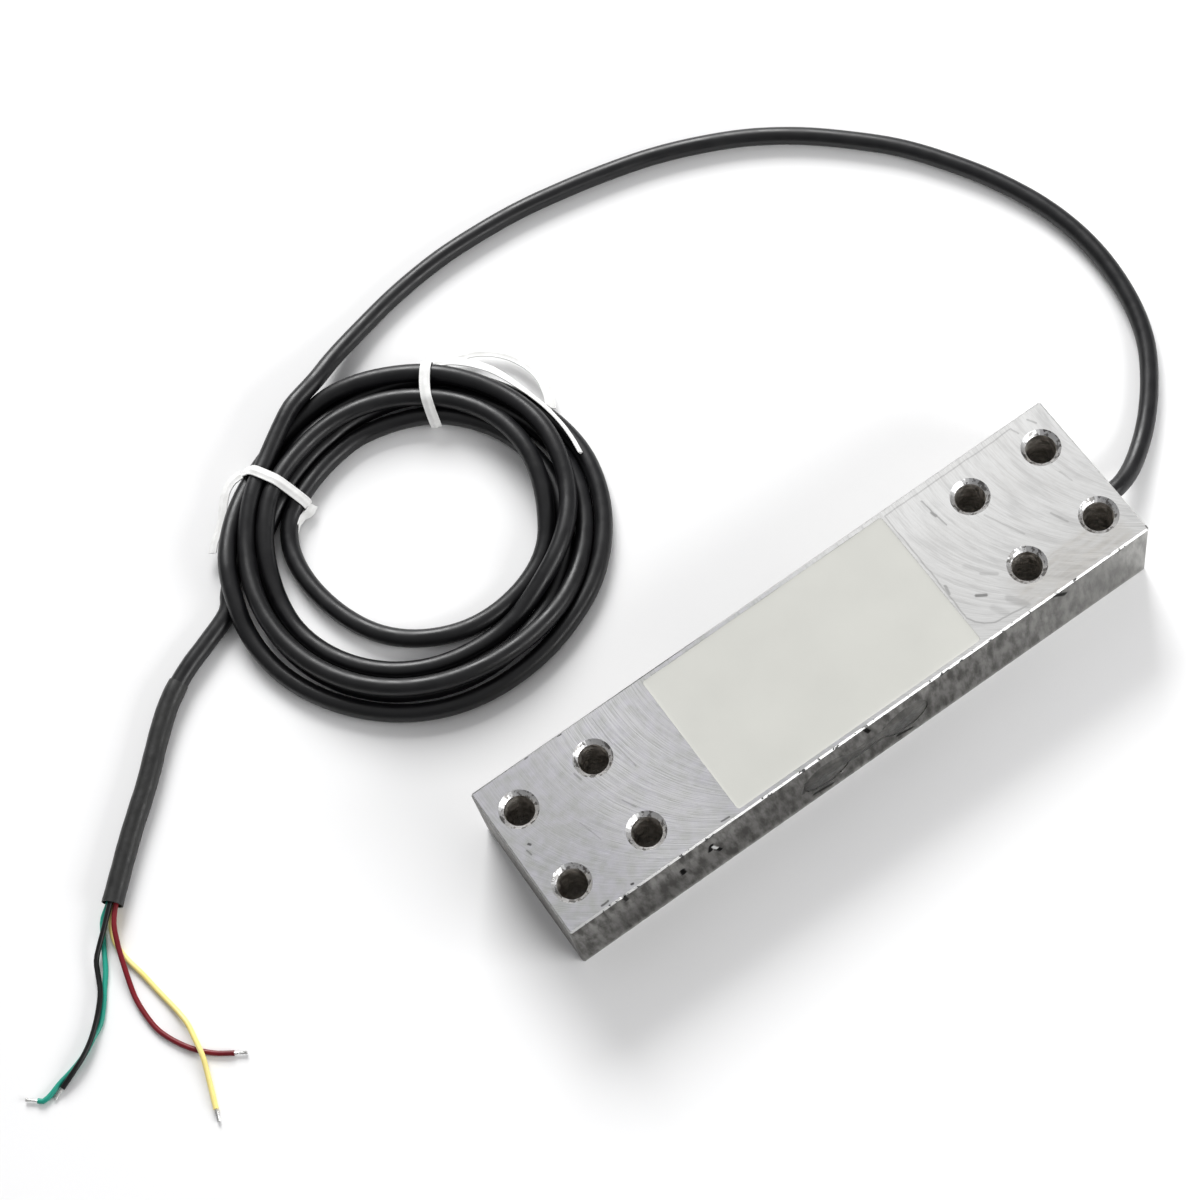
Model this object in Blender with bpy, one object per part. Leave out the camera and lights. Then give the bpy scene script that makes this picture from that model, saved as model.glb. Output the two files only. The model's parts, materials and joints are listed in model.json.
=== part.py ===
"""Single point load cell: aluminium bar, potted strain gauge bridge and a coiled signal cable."""
import math

import bmesh
import bpy
from mathutils import Vector

MM = 0.001

# Bar: X runs along it to the cable end, the front side is at -Y, Z is up from the base
BAR_LENGTH = 0.150
BAR_WIDTH = 0.038
BAR_HEIGHT = 0.022
EDGE_CHAMFER = 0.0004

# Clearance between pieces that touch, and how far a cutter runs past the face it opens
GAP = 0.0003
OVERRUN = 0.002

# Four tapped M8 holes at each end
HOLE_PITCH_X = 0.019
HOLE_PITCH_Y = 0.020
HOLE_END_MARGIN = 0.0065
TAP_DRILL = 0.0068
TAP_MOUTH = 0.0088
HOLE_STEPS = 32

# Pockets milled in the top and the underside for the gauges and their potting
POCKET_LENGTH = 0.063
POCKET_DEPTH = 0.0035
POCKET_WALL = 0.0012
POCKET_CORNER = 0.0008
POTTING_RECESS = 0.0001

# Twin bore cut-out across the bar, which leaves four thin flexures
FLEXURE_THICKNESS = 0.0015
BORE_SPACING = 0.0205
SLOT_HEIGHT = 0.005
SEAL_THICKNESS = 0.003
SEAL_RECESS = 0.0002
BORE_STEPS = 40

# Cable and the way it takes into the bar
CABLE_DIAMETER = 0.0042
ENTRY_CLEARANCE = 0.0005
ENTRY_WALL = 0.0009
ENTRY_Y = -0.0025
ENTRY_MOUTH = 0.0068
ENTRY_MOUTH_DEPTH = 0.003
JACKET_INSIDE = 0.027
WIREWAY_DIAMETER = 0.005
WIREWAY_INSET = 0.0035

# Foil gauges on the flexures
GAUGE_LENGTH = 0.008
GAUGE_WIDTH = 0.006
GAUGE_THICKNESS = 0.0004
GAUGE_PAD = 0.0012
GAUGE_PAD_SPACING = 0.0026
GAUGE_PAD_HEIGHT = 0.0002

# Solder boards, trim resistors and fine leads of the bridge
BOARD_LENGTH = 0.009
BOARD_WIDTH = 0.0125
BOARD_THICKNESS = 0.0008
RESISTOR_LENGTH = 0.0032
RESISTOR_WIDTH = 0.0016
RESISTOR_THICKNESS = 0.0006
RESISTOR_CAP = 0.0005
JUMPER_DIAMETER = 0.0004
INNER_CORE_DIAMETER = 0.001
INNER_CORE_SPREAD = 0.0015

# Coil of the cable that isn't laid out
COIL_CENTRE = Vector((-0.052, 0.085))
COIL_OUTER_RADIUS = 0.044
COIL_INNER_RADIUS = 0.026
COIL_HEIGHT = 0.0084
COIL_CORNER = 0.003
COIL_STEPS = 56

# White twist ties round the coil
TIE_WIDTH = 0.0024
TIE_THICKNESS = 0.0004
TIE_ANGLES = {"tie_right": 46.0, "tie_left": 119.0}
TIE_TAIL_TURN = {"tie_right": -1, "tie_left": 1}
TIE_TAIL_ARC = 24.0
TIE_TAIL_STEPS = 6

# Shrink sleeve at the cable's end, the four cores and their tinned tips
SLEEVE_WALL = 0.0003
SLEEVE_LENGTH = 0.0525
SLEEVE_OVERHANG = 0.003
SLEEVE_STEPS = 12
CORE_DIAMETER = 0.0012
CORE_SPREAD = 0.0016
TIP_DIAMETER = 0.0007
TIP_LENGTH = 0.005

# Routes in millimetres, chosen along the cable as it lies
LEAD_ROUTE = [
    (48, -2.5, 7), (62, -2.5, 7), (75, -2.5, 7), (79.6, -2.2, 6.4), (84.6, -0.4, 4.6),
    (90.2, 3.1, 2.9), (96.7, 8.4, 2.2), (103.4, 15.8, 2.15), (108.9, 24.2, 2.15), (112.6, 35, 2.15),
    (114.2, 49.2, 2.15), (112.6, 63, 2.15), (108, 76.7, 2.15), (102.2, 88.1, 2.15), (95.5, 98.5, 2.15),
    (87.6, 107.5, 2.15), (79.1, 115.7, 2.15), (69.6, 122.8, 2.15), (59.2, 128.5, 2.15),
    (48, 133.2, 2.15), (36, 136.7, 2.15), (25.9, 139, 2.15), (15.6, 140.8, 2.15), (4.8, 141.7, 2.15),
    (-7, 141.8, 2.15), (-19, 140.8, 2.15), (-30.5, 138.5, 2.15), (-41.5, 135, 2.15), (-51, 131, 2.15),
]
TAIL_ROUTE = [
    (-96.4, 94.6, 2.15), (-102.5, 92.5, 2.3), (-108.5, 90.4, 2.75), (-112.9, 88.7, 2.8),
    (-118, 85.7, 2.8), (-124, 80.2, 2.8), (-131, 73, 2.8), (-140, 64.4, 2.8), (-151.4, 52.8, 2.8),
]
# Where each core sits in the sleeve, across and up, and its route once it has left it
CORE_SLOTS = {"red": (-1, 1), "yellow": (-1, -1), "black": (1, 1), "green": (1, -1)}
CORE_ROUTES = {
    "red": [(-153.2, 49.2, 3.2), (-155.2, 45.4, 2.8), (-156.7, 41.0, 2.4), (-157.9, 34.6, 1.3),
            (-158.3, 28.8, 0.7), (-157.6, 23.1, 0.65), (-155.7, 18.2, 0.65), (-153.2, 14.9, 0.65),
            (-149.3, 11.1, 0.65), (-144.4, 7.8, 0.65)],
    "yellow": [(-152.7, 50.4, 1.5), (-154.8, 47.0, 0.9), (-156.0, 43.5, 0.7), (-155.5, 39.5, 0.65),
               (-154.6, 35.1, 0.65), (-153.3, 28.7, 0.75), (-152.2, 21.6, 1.4), (-152.7, 15.5, 2.3),
               (-154.2, 9.8, 1.4), (-155.4, 5.3, 0.7), (-156.6, 0.9, 0.65)],
    "black": [(-154.3, 51.2, 3.2), (-157.6, 47.8, 2.7), (-160.9, 44.2, 1.5), (-162.8, 40.2, 0.9),
              (-165.0, 36.3, 1.7), (-168.7, 32.1, 2.3), (-172.2, 28.6, 1.9), (-176.6, 26.2, 0.8),
              (-181.6, 24.3, 0.65)],
    "green": [(-154.2, 51.6, 1.4), (-156.6, 48.4, 0.8), (-158.4, 44.3, 0.65), (-160.3, 40.2, 0.65),
              (-163.2, 35.4, 0.65), (-166.2, 32.4, 0.65), (-170.2, 30.6, 0.65), (-174.6, 29.1, 0.65),
              (-178.6, 27.9, 0.65), (-182.9, 26.6, 0.65), (-186.3, 25.5, 0.65)],
}

# Sizes that follow from the ones above
HALF_LENGTH = BAR_LENGTH / 2
HALF_WIDTH = BAR_WIDTH / 2
MID_HEIGHT = BAR_HEIGHT / 2
FLOOR_OFFSET = MID_HEIGHT - POCKET_DEPTH
BORE_DIAMETER = 2 * (FLOOR_OFFSET - FLEXURE_THICKNESS)
ENTRY_BORE = CABLE_DIAMETER + 2 * ENTRY_CLEARANCE
ENTRY_Z = POCKET_DEPTH + ENTRY_WALL + ENTRY_BORE / 2
WIREWAY_X = POCKET_LENGTH / 2 - WIREWAY_INSET
COIL_BASE = TIE_THICKNESS + GAP


def clear_scene():
    for item in list(bpy.data.objects):
        bpy.data.objects.remove(item, do_unlink=True)


def material(name, colour, roughness, metallic=0.0):
    """One Principled BSDF with a sub-part's own colour and finish."""
    result = bpy.data.materials.new(name)
    result.use_nodes = True
    shader = result.node_tree.nodes["Principled BSDF"]
    shader.inputs["Base Color"].default_value = (*colour, 1.0)
    shader.inputs["Roughness"].default_value = roughness
    shader.inputs["Metallic"].default_value = metallic
    result.diffuse_color = (*colour, 1.0)
    return result


def add_object(name, data, finish=None):
    result = bpy.data.objects.new(name, data)
    bpy.context.scene.collection.objects.link(result)
    if finish is not None:
        data.materials.append(finish)
    return result


def object_from_bmesh(name, shape, finish=None, smooth=False):
    bmesh.ops.recalc_face_normals(shape, faces=shape.faces[:])
    mesh = bpy.data.meshes.new(name)
    shape.to_mesh(mesh)
    shape.free()
    if smooth:
        mesh.shade_smooth()
        mesh.set_sharp_from_angle(angle=math.radians(35))
    return add_object(name, mesh, finish)


def box(name, low, high, finish=None, chamfer=0.0):
    """A block between two corners, with its edges chamfered where asked."""
    low, high = Vector(low), Vector(high)
    shape = bmesh.new()
    bmesh.ops.create_cube(shape, size=1.0)
    bmesh.ops.scale(shape, vec=high - low, verts=shape.verts[:])
    bmesh.ops.translate(shape, vec=(low + high) / 2, verts=shape.verts[:])
    if chamfer:
        bmesh.ops.bevel(shape, geom=shape.edges[:], offset=chamfer, segments=1, affect="EDGES")
    return object_from_bmesh(name, shape, finish)


def prism(name, outline, place, depth, finish=None, smooth=False):
    """Extrude a closed outline by the vector depth; place turns an outline point into a 3-D one."""
    shape = bmesh.new()
    face = shape.faces.new([shape.verts.new(place(*point)) for point in outline])
    grown = bmesh.ops.extrude_face_region(shape, geom=[face])
    moved = [item for item in grown["geom"] if isinstance(item, bmesh.types.BMVert)]
    bmesh.ops.translate(shape, vec=depth, verts=moved)
    return object_from_bmesh(name, shape, finish, smooth)


def turned(name, profile, axis, centre, steps, finish=None):
    """Revolve a closed loop of (radius, height) points round an axis through centre."""
    axis = Vector(axis)
    across = axis.orthogonal().normalized()
    shape = bmesh.new()
    verts = [shape.verts.new(Vector(centre) + across * r + axis * h) for r, h in profile]
    edges = [shape.edges.new((verts[i - 1], verts[i])) for i in range(len(verts))]
    bmesh.ops.spin(shape, geom=verts + edges, cent=centre, axis=axis, angle=math.tau, steps=steps,
                   use_merge=True)
    bmesh.ops.remove_doubles(shape, verts=shape.verts[:], dist=MM / 1000)
    return object_from_bmesh(name, shape, finish, smooth=True)


def lathe_solid(name, profile, axis, centre, steps):
    """Revolve an open profile that starts and ends on the axis."""
    axis = Vector(axis)
    across = axis.orthogonal().normalized()
    shape = bmesh.new()
    verts = [shape.verts.new(Vector(centre) + across * r + axis * h) for r, h in profile]
    edges = [shape.edges.new(pair) for pair in zip(verts, verts[1:])]
    bmesh.ops.spin(shape, geom=verts + edges, cent=centre, axis=axis, angle=math.tau, steps=steps)
    bmesh.ops.remove_doubles(shape, verts=shape.verts[:], dist=MM / 1000)
    return object_from_bmesh(name, shape, smooth=True)


def combine(target, tool, operation):
    """Boolean of a helper solid into target; the helper is only a cutter or a filler."""
    tool.hide_render = True
    tool.display_type = "WIRE"
    modifier = target.modifiers.new(tool.name, "BOOLEAN")
    modifier.operation = operation
    modifier.solver = "EXACT"
    modifier.object = tool


def cut(target, tool):
    combine(target, tool, "DIFFERENCE")


def fuse(target, tool):
    combine(target, tool, "UNION")


def arc(centre, radius, start, stop, steps):
    """Points of an arc in degrees, both ends included."""
    points = []
    for i in range(steps + 1):
        angle = math.radians(start + (stop - start) * i / steps)
        points.append((centre[0] + radius * math.cos(angle), centre[1] + radius * math.sin(angle)))
    return points


def rounded_rectangle(low, high, radius, steps=4):
    """Outline of a rectangle with round corners, as (u, v) points."""
    corners = [(high[0] - radius, high[1] - radius, 0), (low[0] + radius, high[1] - radius, 90),
               (low[0] + radius, low[1] + radius, 180), (high[0] - radius, low[1] + radius, 270)]
    points = []
    for u, v, start in corners:
        points += arc((u, v), radius, start, start + 90, steps)
    return points


def twin_bore_outline(bore, slot):
    """Two circles side by side, joined by a slot through their middles."""
    radius = bore / 2
    mouth = math.degrees(math.asin(slot / 2 / radius))
    offset = BORE_SPACING / 2
    right = arc((offset, 0), radius, 180 - mouth, -180 + mouth, BORE_STEPS)
    left = arc((-offset, 0), radius, -mouth, -360 + mouth, BORE_STEPS)
    return right + left


def smooth_points(route, spacing):
    """Even points along a centripetal Catmull-Rom curve through a route."""
    knots = [Vector(point) for point in route]
    knots = [2 * knots[0] - knots[1]] + knots + [2 * knots[-1] - knots[-2]]
    dense = []
    for i in range(1, len(knots) - 2):
        p0, p1, p2, p3 = knots[i - 1:i + 3]
        t1 = (p1 - p0).length ** 0.5
        t2 = t1 + (p2 - p1).length ** 0.5
        t3 = t2 + (p3 - p2).length ** 0.5
        count = 16
        for k in range(count):
            t = t1 + (t2 - t1) * k / count
            a1 = p0 * ((t1 - t) / t1) + p1 * (t / t1)
            a2 = p1 * ((t2 - t) / (t2 - t1)) + p2 * ((t - t1) / (t2 - t1))
            a3 = p2 * ((t3 - t) / (t3 - t2)) + p3 * ((t - t2) / (t3 - t2))
            b1 = a1 * ((t2 - t) / t2) + a2 * (t / t2)
            b2 = a2 * ((t3 - t) / (t3 - t1)) + a3 * ((t - t1) / (t3 - t1))
            dense.append(b1 * ((t2 - t) / (t2 - t1)) + b2 * ((t - t1) / (t2 - t1)))
    dense.append(knots[-2])
    return even_points(dense, spacing)


def even_points(points, spacing):
    """The same path with its points a nearly constant distance apart."""
    lengths = [(b - a).length for a, b in zip(points, points[1:])]
    count = max(2, round(sum(lengths) / spacing))
    step = sum(lengths) / count
    result = [points[0]]
    walked = 0.0
    for a, b, length in zip(points, points[1:], lengths):
        while len(result) < count and walked + length >= step * len(result):
            result.append(a.lerp(b, (step * len(result) - walked) / length))
        walked += length
    result.append(points[-1])
    return result


def extended(points, amount):
    """The path with both ends drawn out along their own direction."""
    first = points[0] + (points[0] - points[1]).normalized() * amount
    last = points[-1] + (points[-1] - points[-2]).normalized() * amount
    return [first] + points + [last]


def tube(name, points, diameter, finish=None, resolution=2):
    """A round tube with closed ends along the given points."""
    curve = bpy.data.curves.new(name, "CURVE")
    curve.dimensions = "3D"
    curve.bevel_depth = diameter / 2
    curve.bevel_resolution = resolution
    curve.use_fill_caps = True
    spline = curve.splines.new("POLY")
    spline.points.add(len(points) - 1)
    for item, point in zip(spline.points, points):
        item.co = (*point, 1.0)
    return add_object(name, curve, finish)


def hole_centres():
    """Centres of the eight tapped holes, end by end."""
    first = HALF_LENGTH - HOLE_END_MARGIN
    for x in (-first, -first + HOLE_PITCH_X, first - HOLE_PITCH_X, first):
        for y in (-HOLE_PITCH_Y / 2, HOLE_PITCH_Y / 2):
            yield x, y


def pocket_floor(side):
    """Height of a pocket's floor; side is 1 on the top and -1 on the underside."""
    return MID_HEIGHT + side * FLOOR_OFFSET


def layer(side, low, high):
    """Heights of a layer given by its distances from the pocket floor, lower one first."""
    floor = pocket_floor(side)
    return sorted((floor + side * low, floor + side * high))


def make_spring_element(finish):
    bar = box("spring_element", (-HALF_LENGTH, -HALF_WIDTH, 0), (HALF_LENGTH, HALF_WIDTH, BAR_HEIGHT),
              finish, chamfer=EDGE_CHAMFER)

    for side, name in ((1, "top"), (-1, "bottom")):
        outline = rounded_rectangle((-POCKET_LENGTH / 2, -HALF_WIDTH + POCKET_WALL),
                                    (POCKET_LENGTH / 2, HALF_WIDTH - POCKET_WALL), POCKET_CORNER)
        floor = pocket_floor(side)
        depth = Vector((0, 0, side * (POCKET_DEPTH + OVERRUN)))
        cut(bar, prism(f"pocket_{name}_cutter", outline, lambda u, v: (u, v, floor), depth))

    cut(bar, prism("twin_bore_cutter", twin_bore_outline(BORE_DIAMETER, SLOT_HEIGHT),
                   lambda u, v: (u, -HALF_WIDTH - OVERRUN, MID_HEIGHT + v),
                   Vector((0, BAR_WIDTH + 2 * OVERRUN, 0)), smooth=True))

    drill = TAP_DRILL / 2
    mouth = TAP_MOUTH / 2
    slope = mouth - drill
    profile = [(0, -OVERRUN), (mouth + OVERRUN, -OVERRUN), (drill, slope),
               (drill, BAR_HEIGHT - slope), (mouth + OVERRUN, BAR_HEIGHT + OVERRUN),
               (0, BAR_HEIGHT + OVERRUN)]
    for number, (x, y) in enumerate(hole_centres(), start=1):
        cut(bar, lathe_solid(f"tapped_hole_{number}_cutter", profile, (0, 0, 1), (x, y, 0), HOLE_STEPS))

    bore = ENTRY_BORE / 2
    entry_start = WIREWAY_X - WIREWAY_DIAMETER / 2
    mouth_start = HALF_LENGTH - ENTRY_MOUTH_DEPTH
    entry = [(0, 0), (bore, 0), (bore, mouth_start - entry_start),
             (ENTRY_MOUTH / 2, mouth_start - entry_start),
             (ENTRY_MOUTH / 2, HALF_LENGTH + OVERRUN - entry_start),
             (0, HALF_LENGTH + OVERRUN - entry_start)]
    cut(bar, lathe_solid("cable_entry_cutter", entry, (1, 0, 0), (entry_start, ENTRY_Y, ENTRY_Z), 24))

    wireway = [(0, 0), (WIREWAY_DIAMETER / 2, 0), (WIREWAY_DIAMETER / 2, BAR_HEIGHT - POCKET_DEPTH),
               (0, BAR_HEIGHT - POCKET_DEPTH)]
    start = POCKET_DEPTH / 2
    cut(bar, lathe_solid("wireway_cutter", wireway, (0, 0, 1), (WIREWAY_X, ENTRY_Y, start), 24))
    return bar


def make_side_seals(finish):
    """Plugs of compound that close the cut-out at the front and the back."""
    outline = twin_bore_outline(BORE_DIAMETER - 2 * GAP, SLOT_HEIGHT - 2 * GAP)
    for name, side in (("side_seal_front", -1), ("side_seal_back", 1)):
        face = side * (HALF_WIDTH - SEAL_RECESS)
        prism(name, outline, lambda u, v: (u, face, MID_HEIGHT + v),
              Vector((0, -side * SEAL_THICKNESS, 0)), finish, smooth=True)


def make_gauge(name, x, side, finish):
    """A foil gauge with two solder pads at the end that faces the board."""
    low, high = layer(side, GAP, GAP + GAUGE_THICKNESS)
    gauge = box(name, (x - GAUGE_LENGTH / 2, -GAUGE_WIDTH / 2, low),
                (x + GAUGE_LENGTH / 2, GAUGE_WIDTH / 2, high), finish)
    inner = -1 if x > 0 else 1
    pad_x = x + inner * (GAUGE_LENGTH / 2 - GAUGE_PAD)
    for row in (-1, 1):
        pad_y = row * GAUGE_PAD_SPACING / 2
        low, high = layer(side, GAP + GAUGE_THICKNESS / 2, GAP + GAUGE_THICKNESS + GAUGE_PAD_HEIGHT)
        fuse(gauge, box(f"{name}_pad_{row}", (pad_x - GAUGE_PAD / 2, pad_y - GAUGE_PAD / 2, low),
                        (pad_x + GAUGE_PAD / 2, pad_y + GAUGE_PAD / 2, high)))
    return gauge


def make_resistor(name, side, finish):
    """A chip resistor: a body with a slightly larger metal cap on each end."""
    base = GAP + BOARD_THICKNESS + GAP
    half = RESISTOR_LENGTH / 2
    step = RESISTOR_THICKNESS / 12
    low, high = layer(side, base + step, base + RESISTOR_THICKNESS - step)
    chip = box(name, (-half + step, -RESISTOR_WIDTH / 2 + step, low),
               (half - step, RESISTOR_WIDTH / 2 - step, high), finish)
    low, high = layer(side, base, base + RESISTOR_THICKNESS)
    for end in (-1, 1):
        near, far = sorted((end * half, end * (half - RESISTOR_CAP)))
        fuse(chip, box(f"{name}_cap_{end}", (near, -RESISTOR_WIDTH / 2, low),
                       (far, RESISTOR_WIDTH / 2, high)))
    return chip


def jumper_points(x, row, side):
    """A fine lead from a gauge pad to the board, bowed a little above both."""
    inner = -1 if x > 0 else 1
    floor = pocket_floor(side)
    y = row * GAUGE_PAD_SPACING / 2
    pad_level = GAP + GAUGE_THICKNESS + GAUGE_PAD_HEIGHT + GAP + JUMPER_DIAMETER / 2
    board_level = GAP + BOARD_THICKNESS + GAP + JUMPER_DIAMETER / 2
    start = x + inner * (GAUGE_LENGTH / 2 - GAUGE_PAD)
    stop = -inner * (BOARD_LENGTH / 2 - GAUGE_PAD)
    bow = max(pad_level, board_level) + JUMPER_DIAMETER / 2
    route = [(start, y, floor + side * pad_level), ((start + stop) / 2, y, floor + side * bow),
             (stop, y, floor + side * board_level)]
    return smooth_points(route, 2 * JUMPER_DIAMETER)


def inner_core_points(side, lane):
    """A core from the jacket's end, through the wireway, past the gauge and up onto the board."""
    radius = INNER_CORE_DIAMETER / 2
    floor = pocket_floor(side)
    run = floor + side * (GAP + radius)
    over_board = floor + side * (GAP + BOARD_THICKNESS + GAP + radius)
    y = ENTRY_Y + lane * INNER_CORE_SPREAD / 2
    z = ENTRY_Z + side * INNER_CORE_SPREAD / 2
    clear_of_gauge = GAUGE_WIDTH / 2 + INNER_CORE_SPREAD
    lane_y = -clear_of_gauge + (lane - 1) * INNER_CORE_SPREAD / 2
    start = HALF_LENGTH - JACKET_INSIDE - GAP
    route = [(start, y, z), (WIREWAY_X + 6 * MM, y, z), (WIREWAY_X + 1.9 * MM, y, z),
             (WIREWAY_X + 0.4 * MM, y, z + side * 1.1 * MM), (WIREWAY_X - 0.1 * MM, y, floor - side * 0.3 * MM),
             (WIREWAY_X - 1.3 * MM, y, run - side * 0.15 * MM), (WIREWAY_X - 3.4 * MM, y, run),
             (WIREWAY_X - 11 * MM, lane_y, run), (BOARD_LENGTH / 2 + 4 * MM, lane_y, run),
             (BOARD_LENGTH / 2 + 1 * MM, lane_y, over_board), (BOARD_LENGTH / 2 - 1.3 * MM, lane_y, over_board)]
    return smooth_points(route, 1.7 * INNER_CORE_DIAMETER)


def make_bridge(side, place, finishes):
    """Gauges, board, resistor and leads of one pocket, and the silicone cast over them."""
    recess = POTTING_RECESS
    low, high = layer(side, GAP, POCKET_DEPTH - recess)
    corner = max(POCKET_CORNER - GAP, GAP)
    outline = rounded_rectangle((-POCKET_LENGTH / 2 + GAP, -HALF_WIDTH + POCKET_WALL + GAP),
                                (POCKET_LENGTH / 2 - GAP, HALF_WIDTH - POCKET_WALL - GAP), corner)
    potting = prism(f"potting_{place}", outline, lambda u, v: (u, v, low),
                    Vector((0, 0, high - low)), finishes["silicone"])

    def hollow_box(name, size, top):
        """Leave room in the silicone round a flat piece, open towards the pocket floor."""
        centre_x, length, width = size
        bottom, ceiling = layer(side, -GAP, top + GAP)
        cut(potting, box(f"{name}_room", (centre_x - length / 2 - GAP, -width / 2 - GAP, bottom),
                         (centre_x + length / 2 + GAP, width / 2 + GAP, ceiling)))

    for end, x in (("left", -BORE_SPACING / 2), ("right", BORE_SPACING / 2)):
        name = f"gauge_{place}_{end}"
        make_gauge(name, x, side, finishes["gauge foil"])
        hollow_box(name, (x, GAUGE_LENGTH, GAUGE_WIDTH), GAP + GAUGE_THICKNESS + GAUGE_PAD_HEIGHT)
        for row, letter in ((-1, "a"), (1, "b")):
            lead = f"jumper_{place}_{end}_{letter}"
            points = jumper_points(x, row, side)
            tube(lead, points, JUMPER_DIAMETER, finishes["enamelled wire"])
            cut(potting, rod(f"{lead}_room", extended(points, GAP), JUMPER_DIAMETER + 2 * GAP))

    board = f"terminal_board_{place}"
    low, high = layer(side, GAP, GAP + BOARD_THICKNESS)
    box(board, (-BOARD_LENGTH / 2, -BOARD_WIDTH / 2, low), (BOARD_LENGTH / 2, BOARD_WIDTH / 2, high),
        finishes["board"])
    hollow_box(board, (0, BOARD_LENGTH, BOARD_WIDTH), GAP + BOARD_THICKNESS)

    resistor = f"balance_resistor_{place}"
    make_resistor(resistor, side, finishes["resistor"])
    hollow_box(resistor, (0, RESISTOR_LENGTH, RESISTOR_WIDTH), 2 * GAP + BOARD_THICKNESS + RESISTOR_THICKNESS)

    colours = {1: ("red", "black"), -1: ("green", "yellow")}[side]
    for lane, colour in zip((-1, 1), colours):
        name = f"inner_core_{colour}"
        points = inner_core_points(side, lane)
        tube(name, points, INNER_CORE_DIAMETER, finishes[f"{colour} insulation"])
        cut(potting, rod(f"{name}_room", extended(points, GAP), INNER_CORE_DIAMETER + 2 * GAP))


def make_cable_seal(finish):
    """Ring of sealant that fills the mouth of the entry round the cable."""
    inner = CABLE_DIAMETER / 2 + GAP
    outer = ENTRY_MOUTH / 2 - GAP
    start = HALF_LENGTH - ENTRY_MOUTH_DEPTH + GAP
    length = ENTRY_MOUTH_DEPTH - 2 * GAP
    profile = [(inner, 0), (outer, 0), (outer, length), (inner, length)]
    turned("cable_seal", profile, (1, 0, 0), (start, ENTRY_Y, ENTRY_Z), 24, finish)


def coil_section(grow):
    """Outline of the coil's cross-section as (radius, height), grown on every side."""
    return rounded_rectangle((COIL_INNER_RADIUS - grow, COIL_BASE - grow),
                             (COIL_OUTER_RADIUS + grow, COIL_BASE + COIL_HEIGHT + grow),
                             COIL_CORNER + grow, steps=2)


def make_coil(finish):
    centre = (COIL_CENTRE.x, COIL_CENTRE.y, 0)
    turned("cable_coil", coil_section(0), (0, 0, 1), centre, COIL_STEPS, finish)


def make_tie(name, finish):
    """A flat band closed round the coil, with its tail lying along the coil's outside."""
    angle = math.radians(TIE_ANGLES[name])
    out = Vector((math.cos(angle), math.sin(angle), 0))
    along = Vector((-out.y, out.x, 0))
    centre = Vector((COIL_CENTRE.x, COIL_CENTRE.y, 0)) - along * TIE_WIDTH / 2

    def place(radius, height):
        return centre + out * radius + Vector((0, 0, height))

    band = prism(name, coil_section(GAP + TIE_THICKNESS), place, along * TIE_WIDTH, finish, smooth=True)
    hollow = prism(f"{name}_hollow", coil_section(GAP), lambda r, h: place(r, h) - along * OVERRUN,
                   along * (TIE_WIDTH + 2 * OVERRUN))
    cut(band, hollow)

    inner = COIL_OUTER_RADIUS + GAP + TIE_THICKNESS / 4
    outer = inner + TIE_THICKNESS
    start = TIE_ANGLES[name]
    stop = start + TIE_TAIL_TURN[name] * TIE_TAIL_ARC
    outline = arc(COIL_CENTRE, inner, start, stop, TIE_TAIL_STEPS)
    outline += arc(COIL_CENTRE, outer, stop, start, TIE_TAIL_STEPS)
    tail_base = COIL_BASE + COIL_CORNER
    tail = prism(f"{name}_tail", outline, lambda u, v: (u, v, tail_base), Vector((0, 0, TIE_WIDTH)))
    fuse(band, tail)
    return band


def sweep_rings(points, radius, steps):
    """Rings of a sweep, square to the path at each point and carried along without twist."""
    last = len(points) - 1
    rings = []
    ahead = (points[1] - points[0]).normalized()
    side = ahead.orthogonal().normalized()
    for i, point in enumerate(points):
        heading = (points[min(i + 1, last)] - points[max(i - 1, 0)]).normalized()
        side = ahead.rotation_difference(heading) @ side
        ahead = heading
        up = ahead.cross(side)
        rings.append([point + (side * math.cos(a) + up * math.sin(a)) * radius
                      for a in (math.tau * k / steps for k in range(steps))])
    return rings


def add_skin(shape, rings):
    """Faces between the rings of a sweep; returns the rings' vertices."""
    rings = [[shape.verts.new(co) for co in ring] for ring in rings]
    for near, far in zip(rings, rings[1:]):
        for k in range(len(near)):
            shape.faces.new((near[k - 1], near[k], far[k], far[k - 1]))
    return rings


def rod(name, points, diameter, steps=8):
    """A swept round cutter with closed ends."""
    shape = bmesh.new()
    rings = add_skin(shape, sweep_rings(points, diameter / 2, steps))
    shape.faces.new(rings[0])
    shape.faces.new(rings[-1])
    return object_from_bmesh(name, shape)


def make_sleeve(points, finish):
    """A thin tube round the cable's last stretch, open at both ends."""
    inner = CABLE_DIAMETER / 2 + GAP
    shape = bmesh.new()
    inside, outside = [add_skin(shape, sweep_rings(points, radius, SLEEVE_STEPS))
                       for radius in (inner, inner + SLEEVE_WALL)]
    for end in (0, -1):
        for k in range(SLEEVE_STEPS):
            shape.faces.new((inside[end][k - 1], inside[end][k], outside[end][k], outside[end][k - 1]))
    object_from_bmesh("end_sleeve", shape, finish, smooth=True)


def in_metres(route):
    return [Vector(point) * MM for point in route]


def trimmed(points, amount):
    """The path without its last stretch of the given length."""
    result = list(points)
    while (result[-1] - result[-2]).length < amount:
        amount -= (result[-1] - result[-2]).length
        result.pop()
    result[-1] = result[-1].lerp(result[-2], amount / (result[-1] - result[-2]).length)
    return result


def last_stretch(points, length):
    """The end of a path, cut to the given length."""
    return trimmed(points[::-1], path_length(points) - length)[::-1]


def path_length(points):
    return sum((b - a).length for a, b in zip(points, points[1:]))


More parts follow.
